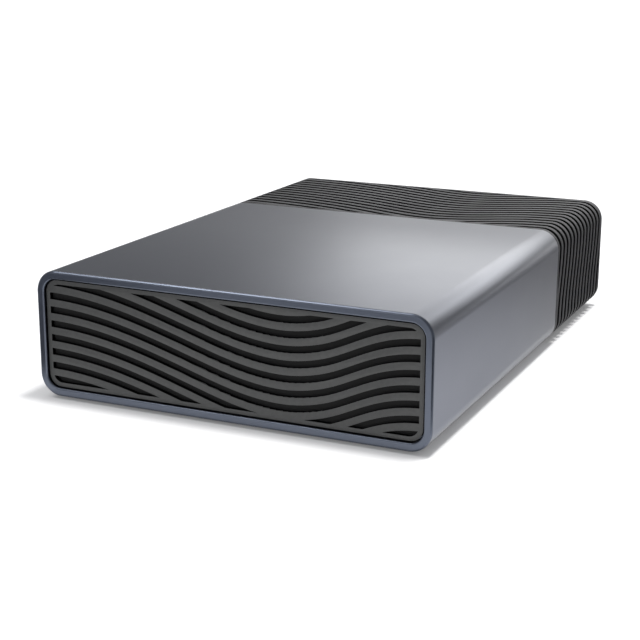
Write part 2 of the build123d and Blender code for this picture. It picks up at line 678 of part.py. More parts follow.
def usb_outline(y, extra, radius):
    """The USB-C outline at y, grown by extra on every side."""
    outline = RectangleRounded(USB_WIDTH + 2 * extra, USB_HEIGHT + 2 * extra, radius)
    return Plane((USB_X, y, USB_Z), x_dir=(1, 0, 0), z_dir=(0, -1, 0)) * outline


def make_panel():
    plate = slab(SHROUD_WALL + PANEL_CLEARANCE, PANEL_IN, PANEL_OUT)
    span = PANEL_IN, PANEL_OUT
    holes = [
        extrude(usb_outline(PANEL_OUT, FIT_CLEARANCE, USB_CORNER), amount=PANEL_THICKNESS),
        pin_along_y(JACK_X, JACK_Z, JACK_BARREL_RADIUS + FIT_CLEARANCE, *span),
        pin_along_y(LIGHT_X, USB_Z, LIGHT_RADIUS + RUNNING_CLEARANCE, *span),
        lock_slot(*span),
    ]
    for side in (-1, 1):
        spot = side * CASE_SCREW_X, BODY_MIDDLE
        holes.append(pin_along_y(*spot, CASE_SCREW_RADIUS + FIT_CLEARANCE, *span))
        holes.append(pin_along_y(*spot, CASE_HEAD_RADIUS + FIT_CLEARANCE, PANEL_OUT - PANEL_THICKNESS / 2,
                                 PANEL_OUT))
    return plate - holes


def make_lock_plate():
    span = PANEL_IN - PANEL_LEDGE, PANEL_IN
    plate = box(around(LOCK_X, 2 * LOCK_WIDTH), span, around(LOCK_Z, 3 * LOCK_HEIGHT))
    return plate - lock_slot(*span)


def make_feet():
    feet = []
    for y in (FRONT_Y + FOOT_INSET, REAR_Y - FOOT_INSET):
        for side in (-1, 1):
            foot = post(side * FOOT_X, y, FOOT_RADIUS, 0, BODY_BOTTOM + FOOT_POCKET)
            feet.append(chamfer(foot.faces().sort_by(Axis.Z)[0].edges(), FOOT_CHAMFER))
    return feet


def make_carrier():
    """The tray with its two rails, screw posts and vents, open at the front and rear."""
    tray = box((-RAIL_OUT, RAIL_OUT), (CARRIER_FRONT, CARRIER_REAR), (CARRIER_Z, CARRIER_TOP))
    tray = chamfer(tray.faces().sort_by(Axis.Z)[0].edges().filter_by(Axis.Y), TRAY_CHAMFER)
    solids, holes = [], []
    for side in (-1, 1):
        rail_x = sorted((side * RAIL_IN, side * RAIL_OUT))
        solids.append(box(rail_x, (DRIVE_FRONT, DRIVE_REAR), (CARRIER_TOP, CARRIER_TOP + RAIL_HEIGHT)))
        for y, z in MOUNT_SPOTS:
            holes.append(pin_along_x(y, z, GROMMET_NECK_RADIUS, *rail_x))
        x = side * CASE_SCREW_X
        solids.append(pin_along_y(x, BODY_MIDDLE, POST_RADIUS, BOARD_FRONT, PANEL_IN))
        solids.append(box(around(x, POST_RADIUS), (BOARD_FRONT, CARRIER_REAR), (CARRIER_TOP, BODY_MIDDLE)))
        holes.append(pin_along_y(x, BODY_MIDDLE, CASE_SCREW_RADIUS + RUNNING_CLEARANCE,
                                 PANEL_IN - CASE_SCREW_LENGTH, PANEL_IN))
        for row, vent_x in VENT_ROWS:
            y = (DRIVE_FRONT + DRIVE_REAR) / 2 + row * (VENT_LENGTH + VENT_BRIDGE)
            vent = Pos(side * vent_x, y, CARRIER_Z) * Rot(0, 0, 90) * SlotOverall(VENT_LENGTH, VENT_WIDTH)
            holes.append(extrude(vent, amount=CARRIER_FLOOR))
    for x, y in BOARD_SCREW_SPOTS:
        solids.append(post(x, y, BOARD_POST_RADIUS, CARRIER_TOP, BOARD_Z))
        holes.append(post(x, y, TAP_RADIUS, CARRIER_TOP, BOARD_Z))
    return join(tray, *solids) - holes


def on_both_sides(make):
    """What make gives at each mount spot on the right side, and its mirror image on the left."""
    right = [make(y, z) for y, z in MOUNT_SPOTS]
    return right + [mirror(shape, Plane.YZ) for shape in right]


def grommet(y, z):
    inner = pin_along_x(y, z, GROMMET_RADIUS, DRIVE_HALF, RAIL_IN)
    neck = pin_along_x(y, z, GROMMET_NECK_RADIUS, RAIL_IN, RAIL_OUT)
    outer = pin_along_x(y, z, GROMMET_RADIUS, RAIL_OUT, MOUNT_SEAT)
    return join(inner, neck, outer) - pin_along_x(y, z, MOUNT_SCREW_RADIUS, DRIVE_HALF, MOUNT_SEAT)


def mount_screw(y, z):
    end = DRIVE_HALF - MOUNT_SCREW_DEPTH + SCREW_END_GAP
    shank = pin_along_x(y, z, MOUNT_SCREW_RADIUS, end, MOUNT_SEAT)
    head = pin_along_x(y, z, MOUNT_HEAD_RADIUS, MOUNT_SEAT, MOUNT_SEAT + MOUNT_HEAD)
    outside = Plane((MOUNT_SEAT + MOUNT_HEAD, y, z), x_dir=(0, 1, 0), z_dir=(-1, 0, 0))
    socket = extrude(outside * RegularPolygon(MOUNT_SOCKET_RADIUS, 6), amount=MOUNT_HEAD / 2)
    return join(shank, head) - socket


def make_shield():
    """A folded sheet over the board space, its side skirts against the carrier's rails."""
    low_z = DRIVE_TOP + SHIELD_GAP
    high_z = low_z + SHIELD_THICKNESS
    front, rear = DRIVE_REAR - SHIELD_OVERLAP, PANEL_IN - 2 * PANEL_LEDGE
    outer = RAIL_OUT + SHIELD_THICKNESS
    back_z = BODY_MIDDLE + POST_RADIUS + SHIELD_BACK_LIFT
    sheet = box((-outer, outer), (front, rear), (low_z, high_z))
    back = box((-outer, outer), (rear - SHIELD_THICKNESS, rear), (back_z, high_z))
    skirts = [box(sorted((side * RAIL_OUT, side * outer)), (front, DRIVE_REAR),
                  (CARRIER_TOP + RAIL_HEIGHT / 2, high_z)) for side in (-1, 1)]
    return join(sheet, back, *skirts)


def make_case_screws():
    screws = []
    seat = PANEL_OUT - PANEL_THICKNESS / 2
    for side in (-1, 1):
        x = side * CASE_SCREW_X
        end = PANEL_IN - CASE_SCREW_LENGTH + SCREW_END_GAP
        shank = pin_along_y(x, BODY_MIDDLE, CASE_SCREW_RADIUS, end, seat)
        head = pin_along_y(x, BODY_MIDDLE, CASE_HEAD_RADIUS, seat, seat + CASE_HEAD)
        cross = [box(around(x, wide), (seat + CASE_HEAD / 2, seat + CASE_HEAD), around(BODY_MIDDLE, tall))
                 for wide, tall in ((CROSS_LENGTH, CROSS_WIDTH), (CROSS_WIDTH, CROSS_LENGTH))]
        screws.append(join(shank, head) - cross)
    return screws


# Bridge board at the rear

def make_bridge_board():
    board = box((-BOARD_HALF_WIDTH, BOARD_HALF_WIDTH), (BOARD_FRONT, BOARD_REAR), (BOARD_Z, BOARD_TOP))
    return board - [post(x, y, HOLE_RADIUS, BOARD_Z, BOARD_TOP)
                    for x, y in BOARD_SCREW_SPOTS]


def make_bridge_screws():
    return [join(post(x, y, COVER_SCREW_RADIUS, CARRIER_TOP + SCREW_END_GAP, BOARD_TOP),
                 post(x, y, COVER_HEAD_RADIUS, BOARD_TOP, BOARD_TOP + COVER_HEAD))
            for x, y in BOARD_SCREW_SPOTS]


def make_usb_shell():
    shell = extrude(usb_outline(USB_Y, 0, USB_CORNER), amount=USB_LENGTH)
    mouth = extrude(usb_outline(USB_Y, -USB_SHELL, USB_CORNER - USB_SHELL),
                    amount=USB_LENGTH - USB_BACK_WALL)
    return shell - mouth


def make_usb_tongue():
    return box(around(USB_X, TONGUE_WIDTH), (USB_Y - USB_LENGTH + USB_BACK_WALL, USB_Y - TONGUE_SET_BACK),
               around(USB_Z, TONGUE_THICKNESS))


def make_jack_body():
    body = box(around(JACK_X, JACK_WIDTH), (BOARD_FRONT + JACK_FRONT_GAP, PANEL_IN),
               (BOARD_TOP, BOARD_TOP + JACK_HEIGHT))
    barrel = pin_along_y(JACK_X, JACK_Z, JACK_BARREL_RADIUS, PANEL_IN, JACK_Y)
    bore = pin_along_y(JACK_X, JACK_Z, JACK_BORE_RADIUS, JACK_Y - JACK_BORE_DEPTH, JACK_Y)
    return join(body, barrel) - bore


def make_jack_pin():
    pin = pin_along_y(JACK_X, JACK_Z, JACK_PIN_RADIUS, JACK_Y - JACK_BORE_DEPTH, JACK_Y - JACK_PIN_SET_BACK)
    return fillet(pin.faces().sort_by(Axis.Y)[-1].edges(), JACK_PIN_ROUND)


def make_light_pipe():
    return pin_along_y(LIGHT_X, USB_Z, LIGHT_RADIUS, BOARD_REAR - LIGHT_INSET, PANEL_OUT)


def make_status_lamp():
    end = BOARD_REAR - LIGHT_INSET
    return box(around(LIGHT_X, LAMP_WIDTH), (end - LAMP_DEPTH, end), (BOARD_TOP, USB_Z + LIGHT_RADIUS))


def make_bridge_chip():
    return box(BRIDGE_CHIP_X, (BOARD_FRONT + BRIDGE_CHIP_FRONT, BOARD_REAR - BRIDGE_CHIP_REAR),
               (BOARD_TOP, BOARD_TOP + BRIDGE_CHIP_HEIGHT))


def make_bridge_capacitors():
    return [post(BOARD_HALF_WIDTH - x, BOARD_FRONT + y, CAPACITOR_RADIUS, BOARD_TOP,
                 BOARD_TOP + CAPACITOR_HEIGHT) for x, y in CAPACITOR_SPOTS]


def make_drive_plug():
    """The drive's data and power connector, a hood with a tongue in it."""
    half, mouth_front = PLUG_WIDTH / 2, DRIVE_REAR - PLUG_MOUTH
    tongue_rear = DRIVE_REAR - PLUG_TONGUE_SHORT
    hood = box(around(PLUG_X, PLUG_WIDTH), (DRIVE_REAR - PLUG_DEPTH, DRIVE_REAR),
               (PLUG_Z, PLUG_Z + PLUG_HEIGHT))
    mouth = box(around(PLUG_X, 2 * (half - PLUG_END_WALL)), (mouth_front, DRIVE_REAR),
                (PLUG_Z + PLUG_WALL, PLUG_Z + PLUG_HEIGHT - PLUG_WALL))
    tongue = box(around(PLUG_X, 2 * (half - PLUG_TONGUE_SIDE)), (mouth_front, tongue_rear),
                 [PLUG_Z + z for z in PLUG_TONGUE_Z])
    key = box([PLUG_X + x for x in PLUG_KEY_X], (mouth_front, tongue_rear),
              (PLUG_Z + PLUG_WALL, PLUG_Z + PLUG_TONGUE_Z[0]))
    return join(hood - mouth, tongue) + key


def make_bridge_receptacle():
    """The bridge board's connector, its nose in the drive's hood and round the hood's tongue."""
    half, nose_front = PLUG_WIDTH / 2, DRIVE_REAR - NOSE_LENGTH
    nose_low, nose_high = PLUG_Z + PLUG_WALL + PLUG_FIT, PLUG_Z + PLUG_HEIGHT - PLUG_WALL - PLUG_FIT
    slot_low, slot_high = PLUG_Z + PLUG_TONGUE_Z[0] - PLUG_FIT, PLUG_Z + PLUG_TONGUE_Z[1] + PLUG_FIT
    block = box(around(PLUG_X, PLUG_WIDTH), (DRIVE_REAR + PLUG_FIT, BOARD_FRONT + RECEPTACLE_REAR),
                (BOARD_TOP, PLUG_Z + RECEPTACLE_HEIGHT))
    nose = box(around(PLUG_X, 2 * (half - PLUG_END_WALL - PLUG_FIT)), (nose_front, DRIVE_REAR + PLUG_FIT),
               (nose_low, nose_high))
    slot = box(around(PLUG_X, 2 * (half - PLUG_TONGUE_SIDE + PLUG_FIT)), (nose_front, DRIVE_REAR),
               (slot_low, slot_high))
    key_slot = box((PLUG_X + PLUG_KEY_X[0] - PLUG_FIT, PLUG_X + PLUG_KEY_X[1] + PLUG_FIT),
                   (nose_front, DRIVE_REAR), (nose_low, slot_low))
    return join(block, nose) - [slot, key_slot]


# Drive casting, cover and seals

def well_outline():
    """The plan of the sealed space: the disks' well and the actuator's pocket."""
    pocket_length = POCKET_REAR - SPINDLE_Y
    pocket = RectangleRounded(2 * POCKET_HALF, pocket_length, CAST_RADIUS)
    return Pos(0, SPINDLE_Y) * Circle(WELL_RADIUS) + Pos(0, SPINDLE_Y + pocket_length / 2) * pocket


def drive_outline(inset):
    outline = RectangleRounded(DRIVE_WIDTH - 2 * inset, DRIVE_LENGTH - 2 * inset, CAST_RADIUS - inset)
    return Pos(0, (DRIVE_FRONT + DRIVE_REAR) / 2) * outline


def make_base():
    """The casting: a sealed well above, a recess for the circuit board below."""
    block = Pos(0, 0, DRIVE_Z) * extrude(drive_outline(0), amount=RIM_Z - DRIVE_Z)
    well = Pos(0, 0, WELL_Z) * extrude(well_outline(), amount=RIM_Z - WELL_Z)
    half = DRIVE_HALF - RECESS_SIDE
    recess = box((-half, half), (DRIVE_FRONT + RECESS_FRONT, DRIVE_REAR), (DRIVE_Z, RECESS_TOP))
    notch = box(around(PLUG_X, PLUG_WIDTH + 2 * PLUG_FIT), (DRIVE_REAR - PLUG_DEPTH - PLUG_FIT, DRIVE_REAR),
                (RECESS_TOP, PLUG_Z + PLUG_HEIGHT + PLUG_FIT))
    bosses = [
        post(0, SPINDLE_Y, MOTOR_BOSS_RADIUS, DRIVE_Z + MOTOR_BOSS_LIFT, RECESS_TOP),
        flat_ring(SHAFT_SPOTS[0], HUB_SLEEVE + AIR_GAP, STATOR_IN, WELL_Z, WELL_Z + STATOR_HEIGHTS[1]),
    ]
    holes = []
    for x, y in BOARD_BOSS_SPOTS:
        bosses.append(post(x, y, BOARD_BOSS_RADIUS, PLUG_Z, RECESS_TOP))
        holes.append(post(x, y, TAP_RADIUS, PLUG_Z, RECESS_TOP + BOARD_HOLE_DEPTH))
    for side in (-1, 1):
        for y, z in MOUNT_SPOTS:
            hole_end = DRIVE_HALF - MOUNT_SCREW_DEPTH
            boss_x = sorted((side * (hole_end - MOUNT_BOSS_END), side * DRIVE_HALF))
            hole_x = sorted((side * hole_end, side * DRIVE_HALF))
            bosses.append(pin_along_x(y, z, MOUNT_SCREW_RADIUS + MOUNT_BOSS_WALL, *boss_x))
            holes.append(pin_along_x(y, z, MOUNT_SCREW_RADIUS + RUNNING_CLEARANCE, *hole_x))
    for x, y in COVER_SCREW_SPOTS:
        holes.append(post(x, y, TAP_RADIUS, RIM_Z - COVER_HOLE_DEPTH, RIM_Z))
    return join(block - [well, recess, notch], *bosses) - holes


def make_gasket():
    outline = drive_outline(COVER_MARGIN) - well_outline()
    ring = Pos(0, 0, RIM_Z) * extrude(outline, amount=GASKET_THICKNESS)
    return ring - [post(x, y, HOLE_RADIUS, RIM_Z, COVER_Z) for x, y in COVER_SCREW_SPOTS]


def make_cover():
    plate = Pos(0, 0, COVER_Z) * extrude(drive_outline(COVER_MARGIN), amount=COVER_THICKNESS)
    dish = Pos(0, 0, DRIVE_TOP - COVER_THICKNESS / 2) * extrude(
        offset(well_outline(), amount=-COVER_DISH_INSET), amount=COVER_THICKNESS)
    bosses = [post(x, y, COVER_BOSS_RADIUS, COVER_Z, DRIVE_TOP) for x, y in SHAFT_SPOTS]
    holes = []
    for x, y in COVER_SCREW_SPOTS + SHAFT_SPOTS:
        holes.append(post(x, y, HOLE_RADIUS, COVER_Z, DRIVE_TOP))
        holes.append(post(x, y, COVER_HEAD_RADIUS + FIT_CLEARANCE, DRIVE_TOP - COVER_HEAD, DRIVE_TOP))
    return join(plate - dish, *bosses) - holes


def make_cover_screws():
    screws = []
    seat = DRIVE_TOP - COVER_HEAD
    for x, y in COVER_SCREW_SPOTS + SHAFT_SPOTS:
        shank = post(x, y, COVER_SCREW_RADIUS, RIM_Z - COVER_SCREW_DEPTH, seat)
        head = post(x, y, COVER_HEAD_RADIUS, seat, DRIVE_TOP)
        hexagon = Pos(x, y, DRIVE_TOP - COVER_HEAD / 2) * RegularPolygon(COVER_SOCKET_RADIUS, 6)
        screws.append(join(shank, head) - extrude(hexagon, amount=COVER_HEAD))
    return screws


def make_breather():
    return post(-POCKET_HALF + BREATHER_SIDE, POCKET_REAR - BREATHER_REAR, BREATHER_RADIUS,
                COVER_Z - BREATHER_THICKNESS, COVER_Z)


def make_recirculation_filter():
    """A felt block against the pocket's left wall, ahead of the boss of the rear mount hole."""
    boss_front = MOUNT_SPOTS[0][0] - MOUNT_SCREW_RADIUS - MOUNT_BOSS_WALL
    rear = boss_front - FILTER_GAP
    return box((-POCKET_HALF, -POCKET_HALF + FILTER_THICKNESS), (rear - FILTER_LENGTH, rear),
               (WELL_Z, STACK_TOP))


# Spindle

def make_shaft(spot):
    shaft = post(*spot, SHAFT_RADIUS, WELL_Z, COVER_Z)
    return shaft - post(*spot, TAP_RADIUS, COVER_Z - SHAFT_TAP_DEPTH, COVER_Z)


def make_stator():
    """The motor's iron core: a ring with teeth that widen towards the rotor's magnet."""
    tooth_start = STATOR_IN + STATOR_YOKE - STATOR_TIP_BITE
    tooth_end = STATOR_OUT - STATOR_TIP + STATOR_TIP_BITE
    core = Circle(STATOR_IN + STATOR_YOKE) - Circle(STATOR_IN)
    for pole in range(STATOR_POLES):
        turn = Rot(0, 0, pole * 360 / STATOR_POLES)
        tooth = Rectangle(tooth_end - tooth_start, STATOR_TOOTH_WIDTH)
        core += turn * Pos((tooth_start + tooth_end) / 2, 0) * tooth
        arcs = [CenterArc((0, 0), radius, -STATOR_TIP_ANGLE / 2, STATOR_TIP_ANGLE)
                for radius in (STATOR_OUT, STATOR_OUT - STATOR_TIP)]
        core += turn * make_face([*arcs, Line(arcs[0] @ 0, arcs[1] @ 0), Line(arcs[0] @ 1, arcs[1] @ 1)])
    low, high = STATOR_HEIGHTS
    return Pos(0, SPINDLE_Y, WELL_Z + low) * extrude(core, amount=high - low)


def clamp_spot(index):
    angle = radians(360 / CLAMP_SCREWS * index)
    return CLAMP_SCREW_CIRCLE * cos(angle), SPINDLE_Y + CLAMP_SCREW_CIRCLE * sin(angle)


def make_hub():
    spot = SHAFT_SPOTS[0]
    barrel = flat_ring(spot, HUB_BORE, HUB_RADIUS, HUB_Z, STACK_TOP)
    flange = flat_ring(spot, HUB_INSIDE, HUB_FLANGE_RADIUS, HUB_Z, FIRST_PLATTER_Z)
    inside = flat_ring(spot, HUB_SLEEVE, HUB_INSIDE, HUB_Z, WELL_Z + HUB_INSIDE_HEIGHT)
    taps = [post(*clamp_spot(i), TAP_RADIUS, STACK_TOP - CLAMP_TAP_DEPTH, STACK_TOP)
            for i in range(CLAMP_SCREWS)]
    return join(barrel, flange) - [inside, *taps]


def make_rotor_magnet():
    return flat_ring(SHAFT_SPOTS[0], HUB_INSIDE - MAGNET_RING, HUB_INSIDE, HUB_Z + AIR_GAP,
                     WELL_Z + HUB_INSIDE_HEIGHT)


def platter_z(index):
    return FIRST_PLATTER_Z + index * PLATTER_PITCH


def make_platter(index):
    low = platter_z(index)
    return flat_ring(SHAFT_SPOTS[0], PLATTER_BORE_RADIUS, DISK_RADIUS, low, low + PLATTER_THICKNESS)


def make_spacers():
    return [flat_ring(SHAFT_SPOTS[0], PLATTER_BORE_RADIUS, PLATTER_BORE_RADIUS + SPACER_WIDTH,
                      platter_z(i) + PLATTER_THICKNESS, platter_z(i + 1)) for i in range(PLATTERS - 1)]


def make_clamp():
    top = STACK_TOP + CLAMP_THICKNESS
    ring = flat_ring(SHAFT_SPOTS[0], HUB_BORE + CLAMP_BORE_WALL, CLAMP_RADIUS, STACK_TOP, top)
    return ring - [post(*clamp_spot(i), HOLE_RADIUS, STACK_TOP, top)
                   for i in range(CLAMP_SCREWS)]


def make_clamp_screws():
    top = STACK_TOP + CLAMP_THICKNESS
    return [join(post(*clamp_spot(i), COVER_SCREW_RADIUS, STACK_TOP - CLAMP_SCREW_DEPTH, top),
                 post(*clamp_spot(i), COVER_HEAD_RADIUS, top, top + COVER_HEAD))
            for i in range(CLAMP_SCREWS)]


# Actuator

def make_arm_block():
    """The pivot block with one arm per gap, and the two fingers that hold the coil."""
    block = extrude(Pos(0, 0, ARMS_LOW) * Circle(BLOCK_RADIUS), amount=ARMS_HIGH - ARMS_LOW)
    ends = Circle(BLOCK_RADIUS - ARM_ROOT_STEP), Pos(ARM_REACH, 0) * Circle(ARM_TIP_RADIUS)
    window = Pos(ARM_REACH / 2 + ARM_WINDOW_SHIFT, 0) * SlotOverall(ARM_WINDOW_LENGTH, ARM_WINDOW_WIDTH)
    plan = make_hull([edge for end in ends for edge in end.edges()]) - window
    arms = [Pos(0, 0, middle - ARM_THICKNESS / 2) * extrude(plan, amount=ARM_THICKNESS)
            for middle in ARM_MIDDLES]
    fingers = []
    for side in (-1, 1):
        near = COIL_ANGLE + side * COIL_HALF_ANGLE
        far = near + side * FINGER_ANGLE
        fingers.append(sector(BEARING_RADIUS + ARM_ROOT_STEP, FINGER_REACH, min(near, far), max(near, far),
                              COIL_Z, COIL_TOP))
    bore = post(PIVOT_X, PIVOT_Y, BEARING_RADIUS, ARMS_LOW, ARMS_HIGH)
    return join(on_arm(join(block, *arms)), *fingers) - bore


def make_bearing():
    return flat_ring(SHAFT_SPOTS[1], SHAFT_RADIUS + RUNNING_CLEARANCE, BEARING_RADIUS, ARMS_LOW,
                     ARMS_HIGH + BEARING_RISE)


def make_coil():
    start, end = COIL_ANGLE - COIL_HALF_ANGLE, COIL_ANGLE + COIL_HALF_ANGLE
    leg_angle = degrees(COIL_LEG / ((COIL_INNER + COIL_OUTER) / 2))
    outside = sector(COIL_INNER, COIL_OUTER, start, end, COIL_Z, COIL_TOP)
    inside = sector(COIL_INNER + COIL_LEG, COIL_OUTER - COIL_LEG, start + leg_angle, end - leg_angle,
                    COIL_Z, COIL_TOP)
    return outside - inside


def suspension_levels():
    """The low face of each suspension and the way its slider points, for both faces of every platter."""
    levels = []
    for index, middle in enumerate(ARM_MIDDLES):
        if index > 0:
            levels.append((middle - ARM_THICKNESS / 2 - SUSPENSION_THICKNESS, -1))
        if index < PLATTERS:
            levels.append((middle + ARM_THICKNESS / 2, 1))
    return levels


def make_suspensions():
    stations = ARM_REACH - SUSPENSION_OVERLAP, HEAD_REACH - SUSPENSION_NECK, SUSPENSION_TIP
    upper = list(zip(stations, SUSPENSION_HALF_WIDTHS))
    lower = [(x, -half) for x, half in upper]
    plan = Polygon(*lower, *reversed(upper), align=None)
    return [on_arm(Pos(0, 0, low) * extrude(plan, amount=SUSPENSION_THICKNESS))
            for low, _ in suspension_levels()]


def make_sliders():
    sliders = []
    for low, way in suspension_levels():
        base = low + SUSPENSION_THICKNESS if way > 0 else low - SLIDER_THICKNESS
        sliders.append(on_arm(box(around(HEAD_REACH, SLIDER_LENGTH), around(0, SLIDER_WIDTH),
                                  (base, base + SLIDER_THICKNESS))))
    return sliders


def yoke_plate(low):
    return sector(YOKE_INNER, YOKE_OUTER, COIL_LOW_SIDE + YOKE_END_ANGLE, COIL_HIGH_SIDE - YOKE_END_ANGLE,
                  low, low + YOKE_THICKNESS)


def make_upper_yoke():
    legs = []
    reach = YOKE_OUTER - YOKE_LEG_RADIUS - YOKE_LEG_MARGIN
    ends = COIL_LOW_SIDE + YOKE_LEG_ANGLE, COIL_HIGH_SIDE - YOKE_LEG_ANGLE
    for angle in (ends[0], sum(ends) / 2, ends[1]):
        legs.append(post(*polar(angle, reach), YOKE_LEG_RADIUS, WELL_Z + YOKE_THICKNESS, UPPER_YOKE_Z))
    return join(yoke_plate(UPPER_YOKE_Z), *legs)


def make_magnets():
    inner, outer = YOKE_INNER + MAGNET_INNER_STEP, COIL_OUTER + MAGNET_OUTER_STEP
    start, end = COIL_LOW_SIDE + MAGNET_END_ANGLE, COIL_HIGH_SIDE - MAGNET_END_ANGLE
    levels = WELL_Z + YOKE_THICKNESS, UPPER_YOKE_Z - MAGNET_THICKNESS
    return [sector(inner, outer, start, end, z, z + MAGNET_THICKNESS) for z in levels]


def make_crash_stops():
    clear = degrees((STOP_RADIUS + STOP_CLEARANCE) / STOP_REACH)
    return [post(*polar(angle, STOP_REACH), STOP_RADIUS, WELL_Z, COIL_TOP)
            for angle in (COIL_LOW_SIDE - clear, COIL_HIGH_SIDE + clear)]


def make_load_ramp():
    """A tower just past the arms' tips, with one fin to rest on between each pair of suspensions."""
    tower_in = SUSPENSION_TIP + RAMP_GAP
    start, end = [PARKED_ANGLE + angle for angle in RAMP_ANGLES]
    tower = sector(tower_in, tower_in + RAMP_TOWER, start, end, WELL_Z, ARM_MIDDLES[-1] + RAMP_RISE)
    half = ARM_THICKNESS / 2 - RUNNING_CLEARANCE
    fins = [sector(HEAD_REACH + RAMP_FIN_GAP, tower_in + RAMP_BITE, start, PARKED_ANGLE + RAMP_FIN_END,
                   middle - half, middle + half) for middle in ARM_MIDDLES]
    return join(tower, *fins)


def make_latch():
    """An inertia latch: a hook beside the coil's corner, and a counterweight behind its pin."""
    hook = polar(COIL_LOW_SIDE - LATCH_HOOK_ANGLE, COIL_OUTER + LATCH_HOOK_OFFSET)
    tail = LATCH_X + LATCH_TAIL[0], LATCH_Y + LATCH_TAIL[1]
    pivot_end = Pos(LATCH_X, LATCH_Y) * Circle(LATCH_RADIUS)
    hook_arm = make_hull([*pivot_end.edges(), *(Pos(*hook) * Circle(LATCH_HOOK_RADIUS)).edges()])
    tail_arm = make_hull([*pivot_end.edges(), *(Pos(*tail) * Circle(LATCH_TAIL_RADIUS)).edges()])
    body = hook_arm + tail_arm - Pos(LATCH_X, LATCH_Y) * Circle(LATCH_BORE)
    return Pos(0, 0, COIL_Z) * extrude(body, amount=COIL_THICKNESS)


def make_latch_pin():
    cap_top = COIL_TOP + LATCH_CAP
    foot = post(LATCH_X, LATCH_Y, LATCH_BORE + LATCH_PIN_STEP, WELL_Z, COIL_Z - FIT_CLEARANCE)
    pin = post(LATCH_X, LATCH_Y, LATCH_BORE - RUNNING_CLEARANCE, COIL_Z - FIT_CLEARANCE, cap_top)
    cap = post(LATCH_X, LATCH_Y, LATCH_BORE + LATCH_PIN_STEP, COIL_TOP + FIT_CLEARANCE, cap_top)
    return join(foot, pin, cap)


def make_flexible_lead():
    """A loop of thin ribbon from the floor connector to just clear of the arm block."""
    arcs = [CenterArc((0, 0), radius, 0, 180) for radius in (FLEX_RADIUS, FLEX_RADIUS - FLEX_THICKNESS)]
    ribbon = make_face([*arcs, Line(arcs[0] @ 0, arcs[1] @ 0), Line(arcs[0] @ 1, arcs[1] @ 1)])
    return Pos(FLEX_X - FLEX_RADIUS, FLEX_Y, COIL_Z) * extrude(ribbon, amount=FLEX_HEIGHT)


def make_lead_connector():
    x = FLEX_X - 2 * FLEX_RADIUS
    return box((x - CONNECTOR_THICKNESS, x), [FLEX_Y + y for y in CONNECTOR_REACH],
               (WELL_Z, COIL_Z + FLEX_HEIGHT))


# Drive circuit board

def make_drive_board():
    half = DRIVE_HALF - RECESS_SIDE - DRIVE_BOARD_SIDE
    board = box((-half, half), (DRIVE_REAR - DRIVE_BOARD_LENGTH, DRIVE_REAR - DRIVE_BOARD_REAR),
                (DRIVE_BOARD_Z, PLUG_Z))
    holes = [post(x, y, HOLE_RADIUS, DRIVE_BOARD_Z, PLUG_Z) for x, y in BOARD_BOSS_SPOTS]
    return board - [*holes, post(0, SPINDLE_Y, MOTOR_BAY_RADIUS, DRIVE_BOARD_Z, PLUG_Z)]


def make_drive_board_screws():
    return [join(post(x, y, COVER_SCREW_RADIUS, DRIVE_BOARD_Z, RECESS_TOP + DRIVE_BOARD_SCREW_RISE),
                 post(x, y, COVER_HEAD_RADIUS, DRIVE_BOARD_Z - DRIVE_BOARD_HEAD, DRIVE_BOARD_Z))
            for x, y in BOARD_BOSS_SPOTS]


def make_board_chips():
    return [box(around(x, size), around(DRIVE_REAR - y, size), (PLUG_Z, PLUG_Z + CHIP_HEIGHT))
            for x, y, size in CHIPS]


def make_foam_pad():
    half = DRIVE_HALF - RECESS_SIDE - FOAM_SIDE
    return box((-half, half), [DRIVE_REAR - y for y in FOAM_REACH], (PLUG_Z + CHIP_HEIGHT, RECESS_TOP))


